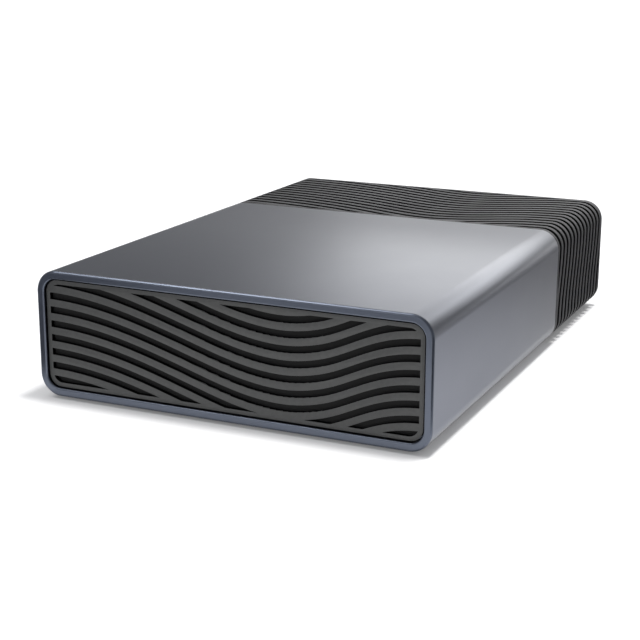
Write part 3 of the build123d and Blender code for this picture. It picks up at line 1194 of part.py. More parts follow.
PARTS = {
    "outer_sleeve": make_sleeve,
    "front_bezel": make_bezel,
    "front_grille": make_grille,
    "grille_dust_screen": make_screen,
    "rear_shroud": make_shroud,
    "rear_panel": make_panel,
    "lock_plate": make_lock_plate,
    "rubber_feet": make_feet,
    "drive_carrier": make_carrier,
    "vibration_grommets": lambda: on_both_sides(grommet),
    "drive_mount_screws": lambda: on_both_sides(mount_screw),
    "top_shield": make_shield,
    "case_screws": make_case_screws,
    "bridge_board": make_bridge_board,
    "bridge_board_screws": make_bridge_screws,
    "bridge_receptacle": make_bridge_receptacle,
    "bridge_chip": make_bridge_chip,
    "bridge_capacitors": make_bridge_capacitors,
    "usb_port_shell": make_usb_shell,
    "usb_port_tongue": make_usb_tongue,
    "power_jack_body": make_jack_body,
    "power_jack_pin": make_jack_pin,
    "status_light_pipe": make_light_pipe,
    "status_lamp": make_status_lamp,
    "drive_base": make_base,
    "drive_cover": make_cover,
    "cover_gasket": make_gasket,
    "cover_screws": make_cover_screws,
    "breather_filter": make_breather,
    "recirculation_filter": make_recirculation_filter,
    "spindle_shaft": lambda: make_shaft(SHAFT_SPOTS[0]),
    "spindle_stator": make_stator,
    "spindle_hub": make_hub,
    "rotor_magnet": make_rotor_magnet,
    "platter_1": lambda: make_platter(0),
    "platter_2": lambda: make_platter(1),
    "platter_3": lambda: make_platter(2),
    "platter_spacers": make_spacers,
    "platter_clamp": make_clamp,
    "platter_clamp_screws": make_clamp_screws,
    "pivot_shaft": lambda: make_shaft(SHAFT_SPOTS[1]),
    "pivot_bearing": make_bearing,
    "actuator_arm_block": make_arm_block,
    "voice_coil": make_coil,
    "head_suspensions": make_suspensions,
    "head_sliders": make_sliders,
    "lower_yoke": lambda: yoke_plate(WELL_Z),
    "upper_yoke": make_upper_yoke,
    "yoke_magnets": make_magnets,
    "crash_stops": make_crash_stops,
    "load_ramp": make_load_ramp,
    "actuator_latch": make_latch,
    "latch_pin": make_latch_pin,
    "flexible_lead": make_flexible_lead,
    "lead_connector": make_lead_connector,
    "drive_circuit_board": make_drive_board,
    "drive_board_screws": make_drive_board_screws,
    "drive_board_chips": make_board_chips,
    "drive_board_foam": make_foam_pad,
    "drive_plug": make_drive_plug,
}

if __name__ == "__main__":
    os.makedirs("parts", exist_ok=True)
    for name, make in PARTS.items():
        made = make()
        shapes = made if isinstance(made, list) else [made]
        solids = [solid for shape in shapes for solid in shape.solids()]
        export_step(Compound(children=solids), f"parts/{name}.step")
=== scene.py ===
# %% [markdown]
# An external hard drive, dressed for its picture.
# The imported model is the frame: it gives every piece its place and size, in metres.
# This script models the pieces whose rounded edges and finishes show, gives every other piece a
# material, and sets a plain soft studio round them. It never moves a part of the frame.

# %% Load the frame
import json
import math

import bmesh
import bpy
from mathutils import Matrix, Vector


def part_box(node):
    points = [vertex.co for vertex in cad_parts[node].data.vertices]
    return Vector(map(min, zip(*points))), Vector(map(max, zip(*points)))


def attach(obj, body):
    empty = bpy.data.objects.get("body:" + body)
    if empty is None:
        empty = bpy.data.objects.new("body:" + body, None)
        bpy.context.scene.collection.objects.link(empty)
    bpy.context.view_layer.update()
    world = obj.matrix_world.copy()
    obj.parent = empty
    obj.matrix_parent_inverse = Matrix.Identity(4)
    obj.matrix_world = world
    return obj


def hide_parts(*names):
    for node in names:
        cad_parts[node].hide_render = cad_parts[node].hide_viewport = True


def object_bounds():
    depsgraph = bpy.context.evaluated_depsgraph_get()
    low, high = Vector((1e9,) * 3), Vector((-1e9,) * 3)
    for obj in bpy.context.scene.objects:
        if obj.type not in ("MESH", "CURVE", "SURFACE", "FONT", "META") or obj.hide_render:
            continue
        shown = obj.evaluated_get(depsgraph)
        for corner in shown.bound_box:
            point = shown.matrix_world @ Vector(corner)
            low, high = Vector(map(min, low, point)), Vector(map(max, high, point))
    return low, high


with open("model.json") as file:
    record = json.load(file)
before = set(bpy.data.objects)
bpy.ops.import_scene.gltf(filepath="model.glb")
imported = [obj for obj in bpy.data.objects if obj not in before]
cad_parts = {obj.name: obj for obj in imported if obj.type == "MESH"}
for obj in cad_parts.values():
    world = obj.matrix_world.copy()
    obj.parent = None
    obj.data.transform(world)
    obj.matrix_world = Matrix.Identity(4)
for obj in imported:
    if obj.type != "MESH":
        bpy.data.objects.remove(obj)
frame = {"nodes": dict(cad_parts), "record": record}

MM = 0.001
cad_low, cad_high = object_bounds()
nodes = frame["nodes"]


def box_in_mm(source):
    """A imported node's lowest and highest corners, in millimetres."""
    low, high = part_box(source)
    return low / MM, high / MM


print("CAD box in mm:", [round(v / MM, 1) for v in cad_high - cad_low])

# %% [markdown]
# The camera stands a little to the right of the front, above the top's height, with a long lens.
# Its place was worked out from the straight edges of the body in the picture. A short lens close
# by would fill the frame as well, but a long one keeps the far end nearly as tall as the front,
# which is how products are usually photographed.

# %% Camera
CAMERA_PLACE = Vector((177.46, -413.14, 131.72)) * MM
CAMERA_TURN = 24.488
CAMERA_DOWN = 15.322
CAMERA_ROLL = 0.22
LENS, SENSOR = 81.01, 36
NEAREST, FARTHEST = 0.01, 60

camera_data = bpy.data.cameras.new("camera")
camera_data.lens = LENS
camera_data.sensor_width = SENSOR
camera_data.clip_start, camera_data.clip_end = NEAREST, FARTHEST
camera = bpy.data.objects.new("camera", camera_data)
bpy.context.scene.collection.objects.link(camera)
turn = Matrix.Rotation(math.radians(CAMERA_TURN), 4, "Z")
tilt = Matrix.Rotation(math.radians(90 - CAMERA_DOWN), 4, "X")
roll = Matrix.Rotation(math.radians(CAMERA_ROLL), 4, "Z")
camera.matrix_world = Matrix.Translation(CAMERA_PLACE) @ turn @ tilt @ roll
bpy.context.scene.camera = camera
bpy.context.scene.view_settings.view_transform = "Standard"
print("camera at", [round(v, 3) for v in camera.location])

# %% [markdown]
# A material is a small graph of nodes. All of them here start from one Principled shader with a
# base colour, a metal share and a roughness. Each graph could be wired line by line, but named
# helpers keep the wiring in one place, and leave only the values that set one finish apart.

# %% Starting a material


def new_material(name, colour, metal=0.0, rough=0.5):
    """A Principled material with its main values set."""
    material = bpy.data.materials.new(name)
    material.use_nodes = True
    shader = material.node_tree.nodes["Principled BSDF"]
    shader.inputs["Base Color"].default_value = (*colour, 1)
    shader.inputs["Metallic"].default_value = metal
    shader.inputs["Roughness"].default_value = rough
    return material


def node(material, kind, **values):
    """Adds a node and sets its sockets by name."""
    made = material.node_tree.nodes.new(kind)
    for key, value in values.items():
        made.inputs[key.replace("_", " ")].default_value = value
    return made


def link(material, start, end):
    material.node_tree.links.new(start, end)


def shader_of(material):
    return material.node_tree.nodes["Principled BSDF"]


def shade(piece, *materials):
    """Gives a piece its materials, in the order of its material slots."""
    piece.data.materials.clear()
    for material in materials:
        piece.data.materials.append(material)


# %% [markdown]
# Finishes are made of patterns: lumps, stripes and rings. They read Object coordinates. The
# pieces sit at the origin, so these are metres on the real thing, and a noise scale of 4000 is a
# grain of a quarter millimetre. An image could hold a pattern too, but it would have to be
# unwrapped onto every piece, and it would blur in a close view.

# %% Patterns


def math_of(material, kind, first, second):
    """One step of arithmetic on two outputs, or on an output and a number."""
    step = node(material, "ShaderNodeMath")
    step.operation = kind
    link(material, first, step.inputs[0])
    if isinstance(second, (int, float)):
        step.inputs[1].default_value = second
    else:
        link(material, second, step.inputs[1])
    return step.outputs[0]


def place_of(material, centre=(0, 0, 0), stretch=(1, 1, 1)):
    """Object coordinates, measured from a centre in metres and stretched along each axis."""
    coordinates = node(material, "ShaderNodeTexCoord")
    mapping = node(material, "ShaderNodeMapping", Scale=stretch)
    mapping.inputs["Location"].default_value = [-c * s for c, s in zip(centre, stretch)]
    link(material, coordinates.outputs["Object"], mapping.inputs["Vector"])
    return mapping.outputs["Vector"]


def noise_of(material, scale, detail=3.0, stretch=(1, 1, 1)):
    """Soft random lumps, finer along a stretched axis."""
    noise = node(material, "ShaderNodeTexNoise", Scale=scale, Detail=detail, Roughness=0.6)
    link(material, place_of(material, stretch=stretch), noise.inputs["Vector"])
    return noise.outputs["Fac"]


def cells_of(material, scale):
    """Small random cells, each with its own colour and a distance from its middle."""
    cells = node(material, "ShaderNodeTexVoronoi", Scale=scale)
    link(material, place_of(material), cells.inputs["Vector"])
    return cells


def waves_of(material, pitch, centre=None, along="X"):
    """Even stripes, their pitch in metres: rings round an upright axis, or bands along one."""
    # At a scale of 1 the stripes of a Wave texture repeat every pi / 10.
    waves = node(material, "ShaderNodeTexWave", Scale=math.pi / 10 / pitch)
    if centre:
        waves.wave_type, waves.rings_direction = "RINGS", "Z"
    else:
        waves.bands_direction = along
    link(material, place_of(material, centre or (0, 0, 0)), waves.inputs["Vector"])
    return waves.outputs["Fac"]


# %% [markdown]
# A pattern then drives something: the colour, the roughness, or the height of the surface. Small
# drifts of colour and roughness keep a large face from looking freshly painted, as handling and
# casting do. Height goes to a bump, which tilts the light as fine texture does without a single
# extra face. Real geometry is kept for what can be seen in outline.

# %% What a pattern drives


def paint_by(material, amount, dark, light, low=0.35, high=0.65):
    """Lets the base colour follow an amount between 0 and 1."""
    ramp = node(material, "ShaderNodeValToRGB")
    for stop, colour, spot in zip(ramp.color_ramp.elements, (dark, light), (low, high)):
        stop.color = (*colour, 1)
        stop.position = spot
    link(material, amount, ramp.inputs["Fac"])
    link(material, ramp.outputs["Color"], shader_of(material).inputs["Base Color"])
    return ramp.color_ramp


def rough_by(material, amount, low, high):
    """Lets the roughness follow an amount between 0 and 1."""
    spread = node(material, "ShaderNodeMapRange", To_Min=low, To_Max=high)
    link(material, amount, spread.inputs["Value"])
    link(material, spread.outputs["Result"], shader_of(material).inputs["Roughness"])


def bump_by(material, height, depth, share=1.0):
    """Lets the surface rise and fall with a height between 0 and 1, its depth in metres."""
    bump = node(material, "ShaderNodeBump", Strength=share, Distance=depth)
    link(material, height, bump.inputs["Height"])
    link(material, bump.outputs["Normal"], shader_of(material).inputs["Normal"])


def grain(material, scale, depth, share=1.0, stretch=(1, 1, 1)):
    """Fine bumps over the whole surface."""
    bump_by(material, noise_of(material, scale, stretch=stretch), depth, share)


def vary_roughness(material, scale, low, high):
    """Lets the roughness drift between two values."""
    rough_by(material, noise_of(material, scale, 2.0), low, high)


def vary_colour(material, scale, dark, light):
    """Lets the base colour drift between two near colours."""
    paint_by(material, noise_of(material, scale, 4.0), dark, light)


# %% [markdown]
# The sleeve is a bead-blasted, anodised aluminium extrusion. Blasting leaves pits far smaller
# than a pixel, which spread a reflection into a soft glow. Each pit could be a bump, but from any
# distance that only looks like roughness, so roughness carries the look, with a trace of bump for
# close views. The rim round the grille is the same metal in a blue-grey anodise.

# %% Metals that show
sleeve_metal = new_material("sleeve_aluminium", (0.198, 0.205, 0.225), metal=1.0, rough=0.32)
grain(sleeve_metal, 9000, 0.00002, share=0.25)
vary_roughness(sleeve_metal, 60, 0.30, 0.34)

rim_metal = new_material("anodised_rim", (0.125, 0.14, 0.175), metal=1.0, rough=0.30)
grain(rim_metal, 9000, 0.00002, share=0.25)
vary_roughness(rim_metal, 90, 0.29, 0.35)
print("metals that show:", sleeve_metal.name, rim_metal.name)

# %% [markdown]
# The grille, the ribbed shroud and the rear panel are dark moulded plastic. Moulds are spark
# eroded, so the surface has a fine even texture and a low sheen. One black could serve all three,
# but the grille is plainly the lighter one and the shroud the duller one, so each has its own.

# %% Plastics that show
grille_plastic = new_material("grille_black", (0.062, 0.063, 0.062), rough=0.5)
grain(grille_plastic, 5000, 0.00004, share=0.4)
vary_colour(grille_plastic, 900, (0.058, 0.059, 0.058), (0.066, 0.067, 0.066))

shroud_plastic = new_material("shroud_plastic", (0.036, 0.036, 0.037), rough=0.57)
shader_of(shroud_plastic).inputs["Specular IOR Level"].default_value = 0.42
grain(shroud_plastic, 6000, 0.00003, share=0.2)
vary_roughness(shroud_plastic, 70, 0.54, 0.6)

panel_plastic = new_material("panel_plastic", (0.02, 0.021, 0.022), rough=0.5)
grain(panel_plastic, 4500, 0.00005, share=0.5)
vary_colour(panel_plastic, 700, (0.018, 0.019, 0.02), (0.023, 0.024, 0.025))

foot_rubber = new_material("foot_rubber", (0.028, 0.028, 0.028), rough=0.75)
grain(foot_rubber, 3000, 0.00006, share=0.6)
vary_colour(foot_rubber, 500, (0.024, 0.024, 0.024), (0.034, 0.034, 0.033))
print("plastics that show:", grille_plastic.name, shroud_plastic.name, panel_plastic.name, foot_rubber.name)

# %% [markdown]
# Down in the slots and grooves the real plastic looks nearly black, because a narrow gap lets
# little light back out. Darker lamps would do that too, but they would dull the ribs as well. So
# the faces down there are painted nearly black with almost no sheen, as a second material: this
# is painted shade.

# %% Painted shade inside a slot
# Painted shade: the plastic darkened nearly to black, for the faces down in slots and grooves.
groove_plastic = new_material("groove_plastic", (0.002, 0.002, 0.002), rough=0.8)
shader_of(groove_plastic).inputs["Specular IOR Level"].default_value = 0.05
grain(groove_plastic, 3000, 0.00006, share=0.6)
vary_colour(groove_plastic, 500, (0.0015, 0.0015, 0.0015), (0.003, 0.003, 0.003))
print("inside a slot:", groove_plastic.name)

# %% [markdown]
# Pieces are modelled as by hand: a primitive is added at its size and place, then shaped in edit
# mode. An operator works on all that is selected, so these helpers start clean, and pick faces or
# edges by where they are and where they point.

# %% Editing helpers
SMOOTH_UNDER = 30


def select_alone(piece):
    bpy.ops.object.select_all(action="DESELECT")
    piece.select_set(True)
    bpy.context.view_layer.objects.active = piece


def begin(piece):
    """Selects one object alone and opens its mesh for editing."""
    select_alone(piece)
    bpy.ops.object.mode_set(mode="EDIT")


def end(piece, name):
    """Leaves edit mode, names the piece, puts its place into its mesh and smooths by angle."""
    bpy.ops.object.mode_set(mode="OBJECT")
    bpy.ops.object.transform_apply(location=True, rotation=True, scale=True)
    piece.name = name
    piece.data.name = name
    bpy.ops.object.shade_smooth_by_angle(angle=math.radians(SMOOTH_UNDER))
    print(name, "has", len(piece.data.polygons), "faces")


def pick(piece, kind, test):
    """Selects only the faces or edges that pass a test, in edit mode."""
    bpy.ops.mesh.select_mode(type=kind)
    bpy.ops.mesh.select_all(action="DESELECT")
    mesh = bmesh.from_edit_mesh(piece.data)
    for item in mesh.faces if kind == "FACE" else mesh.edges:
        if test(item):
            item.select_set(True)
    bmesh.update_edit_mesh(piece.data)


# %% [markdown]
# Walls, holes, rows and rounded edges come from modifiers, and each is applied at once, so that
# the next step works on the finished mesh. At the end a piece is told which body it rides on and
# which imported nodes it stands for: those nodes are then hidden, and the piece moves in their place.

# %% Building helpers
SHARP_FROM = 35
stood_for = set()


def add_block(low, high):
    """A cube primitive between two corners given in millimetres, its scale applied."""
    low, high = Vector(low) * MM, Vector(high) * MM
    bpy.ops.object.select_all(action="DESELECT")
    bpy.ops.mesh.primitive_cube_add(size=1, location=(low + high) / 2)
    block = bpy.context.object
    block.scale = high - low
    bpy.ops.object.transform_apply(location=True, rotation=True, scale=True)
    return block


def modify(piece, kind, **values):
    """Adds a modifier, sets it and applies it."""
    select_alone(piece)
    modifier = piece.modifiers.new(kind.lower(), kind)
    for key, value in values.items():
        setattr(modifier, key, value)
    bpy.ops.object.modifier_apply(modifier=modifier.name)


def soften(piece, width, segments=2):
    """Rounds every sharp edge a little, because no real edge is perfectly sharp."""
    modify(piece, "BEVEL", width=width * MM, segments=segments, limit_method="ANGLE",
           angle_limit=math.radians(SHARP_FROM), use_clamp_overlap=True)


def put_on(piece, body, slot, *replaced):
    """Says what the piece rides on and which nodes it stands for. The slot is not used."""
    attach(piece, body)
    if replaced:
        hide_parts(*replaced)
        stood_for.update(replaced)


# %% [markdown]
# The sleeve is a flat extruded tube with round corners. It could be drawn as a profile and
# extruded, but a block with its four long edges bevelled, its ends removed and a wall added
# inwards gives the same shape in a few steps, and the bevel sets how smooth the corners are.

# %% Outer sleeve
sleeve_low, sleeve_high = box_in_mm("outer_sleeve")
CORNER = 6.5
CORNER_STEPS = 28
WALL = 1.6
LONG_EDGE = 50.0
SQUARE_ON = 0.9

sleeve = add_block(sleeve_low, sleeve_high)
begin(sleeve)
pick(sleeve, "EDGE", lambda edge: abs(edge.verts[0].co.y - edge.verts[1].co.y) > LONG_EDGE * MM)
bpy.ops.mesh.bevel(offset=CORNER * MM, segments=CORNER_STEPS, profile=0.5)
pick(sleeve, "FACE", lambda face: abs(face.normal.y) > SQUARE_ON)
bpy.ops.mesh.delete(type="FACE")
bpy.ops.object.mode_set(mode="OBJECT")
modify(sleeve, "SOLIDIFY", thickness=WALL * MM, offset=-1.0, use_even_offset=True)
print("sleeve length in mm:", round(sleeve_high.y - sleeve_low.y, 1))

# %% [markdown]
# Two of the feet sit in shallow round pockets under the sleeve. A pocket could be drawn on the
# bottom face and pushed in, but a short cylinder taken away by a boolean modifier lands exactly
# where the foot is. A fine bevel then rounds every edge of the sleeve, and its open ends catch
# the light as thin lines.

# %% Pockets for the front feet
FOOT_RADIUS = 6.0
FOOT_SIDES = 64
POCKET_DEPTH = 0.7
FIT = 0.1
SLEEVE_EDGE = 0.16
foot_rest = next(mount for mount in frame["record"]["mounts"] if mount["name"] == "foot_rest")
foot_x, foot_y = foot_rest["pos_m"][:2]

for x in (-foot_x, foot_x):
    bpy.ops.object.select_all(action="DESELECT")
    bpy.ops.mesh.primitive_cylinder_add(vertices=FOOT_SIDES, radius=(FOOT_RADIUS + FIT) * MM,
                                        depth=2 * POCKET_DEPTH * MM, location=(x, foot_y, sleeve_low.z * MM))
    cutter = bpy.context.object
    modify(sleeve, "BOOLEAN", operation="DIFFERENCE", solver="EXACT", object=cutter)
    bpy.data.objects.remove(cutter)
soften(sleeve, SLEEVE_EDGE, segments=3)
begin(sleeve)
end(sleeve, "smooth_sleeve")
shade(sleeve, sleeve_metal)
put_on(sleeve, "root", "sleeve_aluminium", "outer_sleeve")

# %% [markdown]
# The rim is one turned-in ring: a chamfer outside, a flat face, a finer chamfer inside, an
# opening for the grille with a ledge behind it, and a collar that slides into the sleeve. Its
# profile could be swept round the opening, but a sweep pinches at tight corners. Starting from
# the outline as a flat face, each step is an inset or an extrude, so the ring's width stays the
# same round the corners.

# %% Outline of the case


def add_outline(y):
    """The case's rounded outline as one face that looks along -Y, open for editing."""
    bpy.ops.object.select_all(action="DESELECT")
    middle = (sleeve_low + sleeve_high) / 2 * MM
    bpy.ops.mesh.primitive_plane_add(size=1, location=(0, y * MM, middle.z), rotation=(math.pi / 2, 0, 0))
    outline = bpy.context.object
    size = (sleeve_high - sleeve_low) * MM
    outline.scale = (size.x, size.z, 1)
    bpy.ops.object.transform_apply(location=True, rotation=True, scale=True)
    begin(outline)
    bpy.ops.mesh.select_all(action="SELECT")
    bpy.ops.mesh.bevel(offset=CORNER * MM, segments=CORNER_STEPS, affect="VERTICES")
    bpy.ops.mesh.select_mode(type="FACE")
    bpy.ops.mesh.select_all(action="SELECT")
    return outline


def inset_by(width, depth=0.0):
    bpy.ops.mesh.inset(thickness=width * MM, depth=depth * MM)


def push_by(distance):
    """Extrudes the chosen face along Y, in millimetres."""
    bpy.ops.mesh.extrude_region_move(TRANSFORM_OT_translate={"value": (0, distance * MM, 0)})


def leave_open():
    bpy.ops.mesh.delete(type="FACE")
    bpy.ops.object.mode_set(mode="OBJECT")


# %% [markdown]
# The outside is worked from the sleeve's end forwards and then back down into the opening. The
# part behind it, the collar, starts from the same outline facing the other way. Both end at the
# same inner edge, so joining the two and merging their doubles closes the ring.

# %% Front rim
rim_low, rim_high = box_in_mm("front_bezel")
RIM = 2.4
CHAMFER = sleeve_low.y - rim_low.y
INNER_CHAMFER = 0.3
RIM_EDGE = 0.18
LEDGE_WIDTH = 1.4
SAME_EDGE = 0.005
ledge_y = box_in_mm("grille_dust_screen")[1].y
carrier_front_y = box_in_mm("drive_carrier")[0].y

rim = add_outline(sleeve_low.y)
inset_by(CHAMFER, CHAMFER)
inset_by(RIM - CHAMFER - INNER_CHAMFER)
inset_by(INNER_CHAMFER, -INNER_CHAMFER)
push_by(ledge_y - rim_low.y - INNER_CHAMFER)
inset_by(LEDGE_WIDTH)
push_by(carrier_front_y - ledge_y)
leave_open()

collar = add_outline(sleeve_low.y)
bpy.ops.mesh.flip_normals()
inset_by(WALL + FIT)
push_by(rim_high.y - sleeve_low.y)
inset_by(RIM - WALL - FIT)
push_by(carrier_front_y - rim_high.y)
inset_by(LEDGE_WIDTH)
leave_open()

select_alone(rim)
collar.select_set(True)
bpy.ops.object.join()
begin(rim)
bpy.ops.mesh.select_all(action="SELECT")
bpy.ops.mesh.remove_doubles(threshold=SAME_EDGE * MM)
bpy.ops.mesh.normals_make_consistent(inside=False)
end(rim, "front_rim")
soften(rim, RIM_EDGE, segments=3)
shade(rim, rim_metal)
put_on(rim, "root", "anodised_rim", "front_bezel")

# %% [markdown]
# The grille's slots and the shroud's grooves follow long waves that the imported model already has.
# Drawing them again could only make them worse, so a copy of that mesh is cleaned: its loose
# triangles are merged, flat neighbours become one face, and a bevel modifier rounds the edges.
# Those little bevels matter here: each rib of the real thing shows a thin bright line.

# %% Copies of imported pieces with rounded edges
SAME_POINT = 0.001
SAME_PLANE = 0.3


def rounded_copy(source, name, width, segments=2):
    """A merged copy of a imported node, its sharp edges rounded to a width in millimetres."""
    piece = nodes[source].copy()
    piece.data = nodes[source].data.copy()
    bpy.context.scene.collection.objects.link(piece)
    begin(piece)
    bpy.ops.mesh.select_all(action="SELECT")
    bpy.ops.mesh.remove_doubles(threshold=SAME_POINT * MM)
    bpy.ops.mesh.dissolve_limited(angle_limit=math.radians(SAME_PLANE))
    bpy.ops.object.mode_set(mode="OBJECT")
    soften(piece, width, segments)
    begin(piece)
    end(piece, name)
    return piece


def use_second_material(piece, test):
    """Gives the faces that pass a test the material in the piece's second slot."""
    begin(piece)
    pick(piece, "FACE", test)
    piece.active_material_index = 1
    bpy.ops.object.material_slot_assign()
    bpy.ops.object.mode_set(mode="OBJECT")
    print(piece.name, "has", sum(p.material_index for p in piece.data.polygons), "dark faces")


# %% [markdown]
# The grille is a flat plate set back in the rim, its slots cut right through. The ribs' faces
# are grey, and the walls of the slots are painted black, a painted shade. A test on depth tells
# them apart: what lies behind the front face by more than its rounded edge is the wall of a slot.

# %% Grille
GRILLE_EDGE = 0.16
SLOT_START = 0.3
grille = rounded_copy("front_grille", "wave_grille", GRILLE_EDGE)
shade(grille, grille_plastic, groove_plastic)
put_on(grille, "root", "grille_black", "front_grille")
grille_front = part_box("front_grille")[0].y
# The slot walls get the second material: painted shade, nearly black.
use_second_material(grille, lambda face: face.calc_center_median().y > grille_front + SLOT_START * MM)

# %% [markdown]
# The shroud is moulded with grooves that run over the top, round both corners and down the sides.
# The faces in the grooves are painted nearly black, a painted shade. Depth along one axis can't
# find them here, because the corners are round. So the test measures how far a face lies under
# the case's rounded outline, which is the same all the way round. The last millimetre at the rear
# is a plain rim, and keeps the shroud's own finish.

# %% Ribbed shroud
SHROUD_EDGE = 0.5
GROOVE_START = 0.1
PLAIN_REAR = 1.0
shroud = rounded_copy("rear_shroud", "ribbed_shroud", SHROUD_EDGE, segments=3)
shade(shroud, shroud_plastic, groove_plastic)
put_on(shroud, "root", "shroud_plastic", "rear_shroud")


def below_outline(point):
    """How far a point lies under the case's rounded outline, in millimetres."""
    middle, half = (sleeve_low + sleeve_high) / 2, (sleeve_high - sleeve_low) / 2
    across = abs(point.x / MM - middle.x) - (half.x - CORNER)
    up = abs(point.z / MM - middle.z) - (half.z - CORNER)
    if across > 0 and up > 0:
        return CORNER - math.hypot(across, up)
    return CORNER - max(across, up)


rear_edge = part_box("rear_shroud")[1].y - PLAIN_REAR * MM


def in_a_groove(face):
    middle = face.calc_center_median()
    return below_outline(middle) > GROOVE_START and middle.y < rear_edge


# The groove faces get the second material: painted shade, nearly black.
use_second_material(shroud, in_a_groove)

# %% [markdown]
# The rear panel closes the shroud, and four rubber feet lift the case off the desk. Both are
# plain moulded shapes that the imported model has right, so they are copies too. Rounding their
# edges is all they need: a sharp edge on rubber or plastic is what gives a model away.

# %% Rear panel and rubber feet
MOULDED_EDGE = 0.2
panel = rounded_copy("rear_panel", "back_panel", MOULDED_EDGE)
shade(panel, panel_plastic)
put_on(panel, "root", "panel_plastic", "rear_panel")

feet = rounded_copy("rubber_feet", "round_feet", MOULDED_EDGE)
shade(feet, foot_rubber)
put_on(feet, "root", "foot_rubber", "rubber_feet")

# %% [markdown]
# At the rear are a data socket with a tongue in a drawn steel shell, a moulded power socket with
# a turned pin, a lock slot with its plate behind it, a light window and two black screws. They
# are small, so their rounded rims matter: each is a copy with a bevel sized to its walls.

# %% Sockets and screws at the rear
REAR_PIECES = (
    ("usb_port_shell", "data_socket_shell", "nickel_shell", 0.07),
    ("usb_port_tongue", "data_socket_tongue", "black_nylon", 0.07),
    ("power_jack_body", "power_socket", "black_nylon", 0.15),
    ("power_jack_pin", "power_socket_pin", "nickel_shell", 0.05),
    ("case_screws", "panel_screws", "black_screw", 0.12),
    ("lock_plate", "lock_slot_plate", "zinc_sheet", 0.15),
    ("status_light_pipe", "light_window", "clear_pipe", 0.12),
)
rear_pieces = {}
for source, name, slot, width in REAR_PIECES:
    rear_pieces[slot, name] = rounded_copy(source, name, width)
    put_on(rear_pieces[slot, name], "root", slot, source)

# %% [markdown]
# The socket's tongue carries two rows of gold contacts. They are stamped from one strip at an
# even pitch, so one short block is repeated by an array modifier, once for each side. A texture
# could paint them, but they stand a hair proud and catch the light on their own.

# %% Contacts in the data socket
CONTACTS = 12
CONTACT_PITCH, CONTACT_WIDTH, CONTACT_LENGTH, CONTACT_RISE = 0.5, 0.26, 3.6, 0.03
CONTACT_SET_BACK = 0.5
tongue_low, tongue_high = box_in_mm("usb_port_tongue")
row_start = (tongue_low.x + tongue_high.x - (CONTACTS - 1) * CONTACT_PITCH - CONTACT_WIDTH) / 2
row_end = tongue_high.y - CONTACT_SET_BACK
rows = []
for low_z in (tongue_low.z - CONTACT_RISE, tongue_high.z - CONTACT_RISE):
    row = add_block((row_start, row_end - CONTACT_LENGTH, low_z),
                    (row_start + CONTACT_WIDTH, row_end, low_z + 2 * CONTACT_RISE))
    modify(row, "ARRAY", count=CONTACTS, use_relative_offset=False, use_constant_offset=True,
           constant_offset_displace=(CONTACT_PITCH * MM, 0, 0))
    rows.append(row)
rows[0].select_set(True)
bpy.ops.object.join()
contacts = bpy.context.object
begin(contacts)
end(contacts, "socket_contacts")
put_on(contacts, "root", "nickel_shell")

# %% [markdown]
# Inside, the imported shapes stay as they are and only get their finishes, which show once the
# case is opened. Zinc-plated sheet shows its crystals as flat patches, so a cell pattern drives
# its colour and its shine together. Bright screws have fine turned bands, and nickel is smooth,
# with only faint streaks. One grey metal could stand for all, but side by side they differ.

# %% Sheet metal and screws
zinc_sheet = new_material("zinc_sheet", (0.52, 0.53, 0.55), metal=1.0, rough=0.36)
crystals = cells_of(zinc_sheet, 260)
paint_by(zinc_sheet, crystals.outputs["Color"], (0.46, 0.47, 0.49), (0.58, 0.585, 0.6), 0.2, 0.8)
rough_by(zinc_sheet, crystals.outputs["Color"], 0.28, 0.44)
grain(zinc_sheet, 700, 0.00002, share=0.3, stretch=(1, 14, 1))

zinc_screw = new_material("zinc_screw", (0.6, 0.6, 0.6), metal=1.0, rough=0.3)
vary_colour(zinc_screw, 900, (0.54, 0.54, 0.56), (0.64, 0.63, 0.61))
vary_roughness(zinc_screw, 1200, 0.24, 0.38)
bump_by(zinc_screw, waves_of(zinc_screw, 0.00035, along="Z"), 0.00003, 0.3)

black_screw = new_material("black_screw", (0.02, 0.02, 0.021), metal=0.6, rough=0.4)
vary_colour(black_screw, 1500, (0.016, 0.016, 0.017), (0.03, 0.029, 0.028))
vary_roughness(black_screw, 900, 0.34, 0.48)
grain(black_screw, 5000, 0.00003, share=0.4)

nickel_shell = new_material("nickel_shell", (0.66, 0.64, 0.6), metal=1.0, rough=0.2)
vary_colour(nickel_shell, 600, (0.6, 0.585, 0.55), (0.7, 0.685, 0.65))
vary_roughness(nickel_shell, 800, 0.16, 0.28)
grain(nickel_shell, 1500, 0.00001, share=0.2, stretch=(1, 10, 1))

contact_gold = new_material("contact_gold", (0.9, 0.62, 0.24), metal=1.0, rough=0.22)
vary_colour(contact_gold, 2500, (0.82, 0.55, 0.2), (0.92, 0.66, 0.28))
vary_roughness(contact_gold, 3000, 0.18, 0.3)
grain(contact_gold, 4000, 0.00001, share=0.2)

can_aluminium = new_material("can_aluminium", (0.68, 0.69, 0.7), metal=1.0, rough=0.28)
vary_colour(can_aluminium, 700, (0.62, 0.63, 0.64), (0.72, 0.72, 0.73))
vary_roughness(can_aluminium, 900, 0.22, 0.36)
bump_by(can_aluminium, waves_of(can_aluminium, 0.0003, along="Z"), 0.00001, 0.3)
print("sheet metal and screws:", zinc_sheet.name, zinc_screw.name, black_screw.name, nickel_shell.name)

# %% [markdown]
# The drive's base is a casting, dull and slightly pebbled. Its cover is rolled stainless steel,
# where the mill leaves long fine streaks: noise stretched along one axis draws those for little
# work. The shafts are ground steel, and the yokes and magnets are nickel plated, which levels the
# surface, so they are the shiniest of all.

# %% Castings, cover, steel and magnets
cast_aluminium = new_material("cast_aluminium", (0.42, 0.43, 0.44), metal=1.0, rough=0.5)
vary_colour(cast_aluminium, 90, (0.36, 0.365, 0.375), (0.47, 0.475, 0.48))
vary_roughness(cast_aluminium, 120, 0.42, 0.6)
grain(cast_aluminium, 2600, 0.00008, share=0.5)

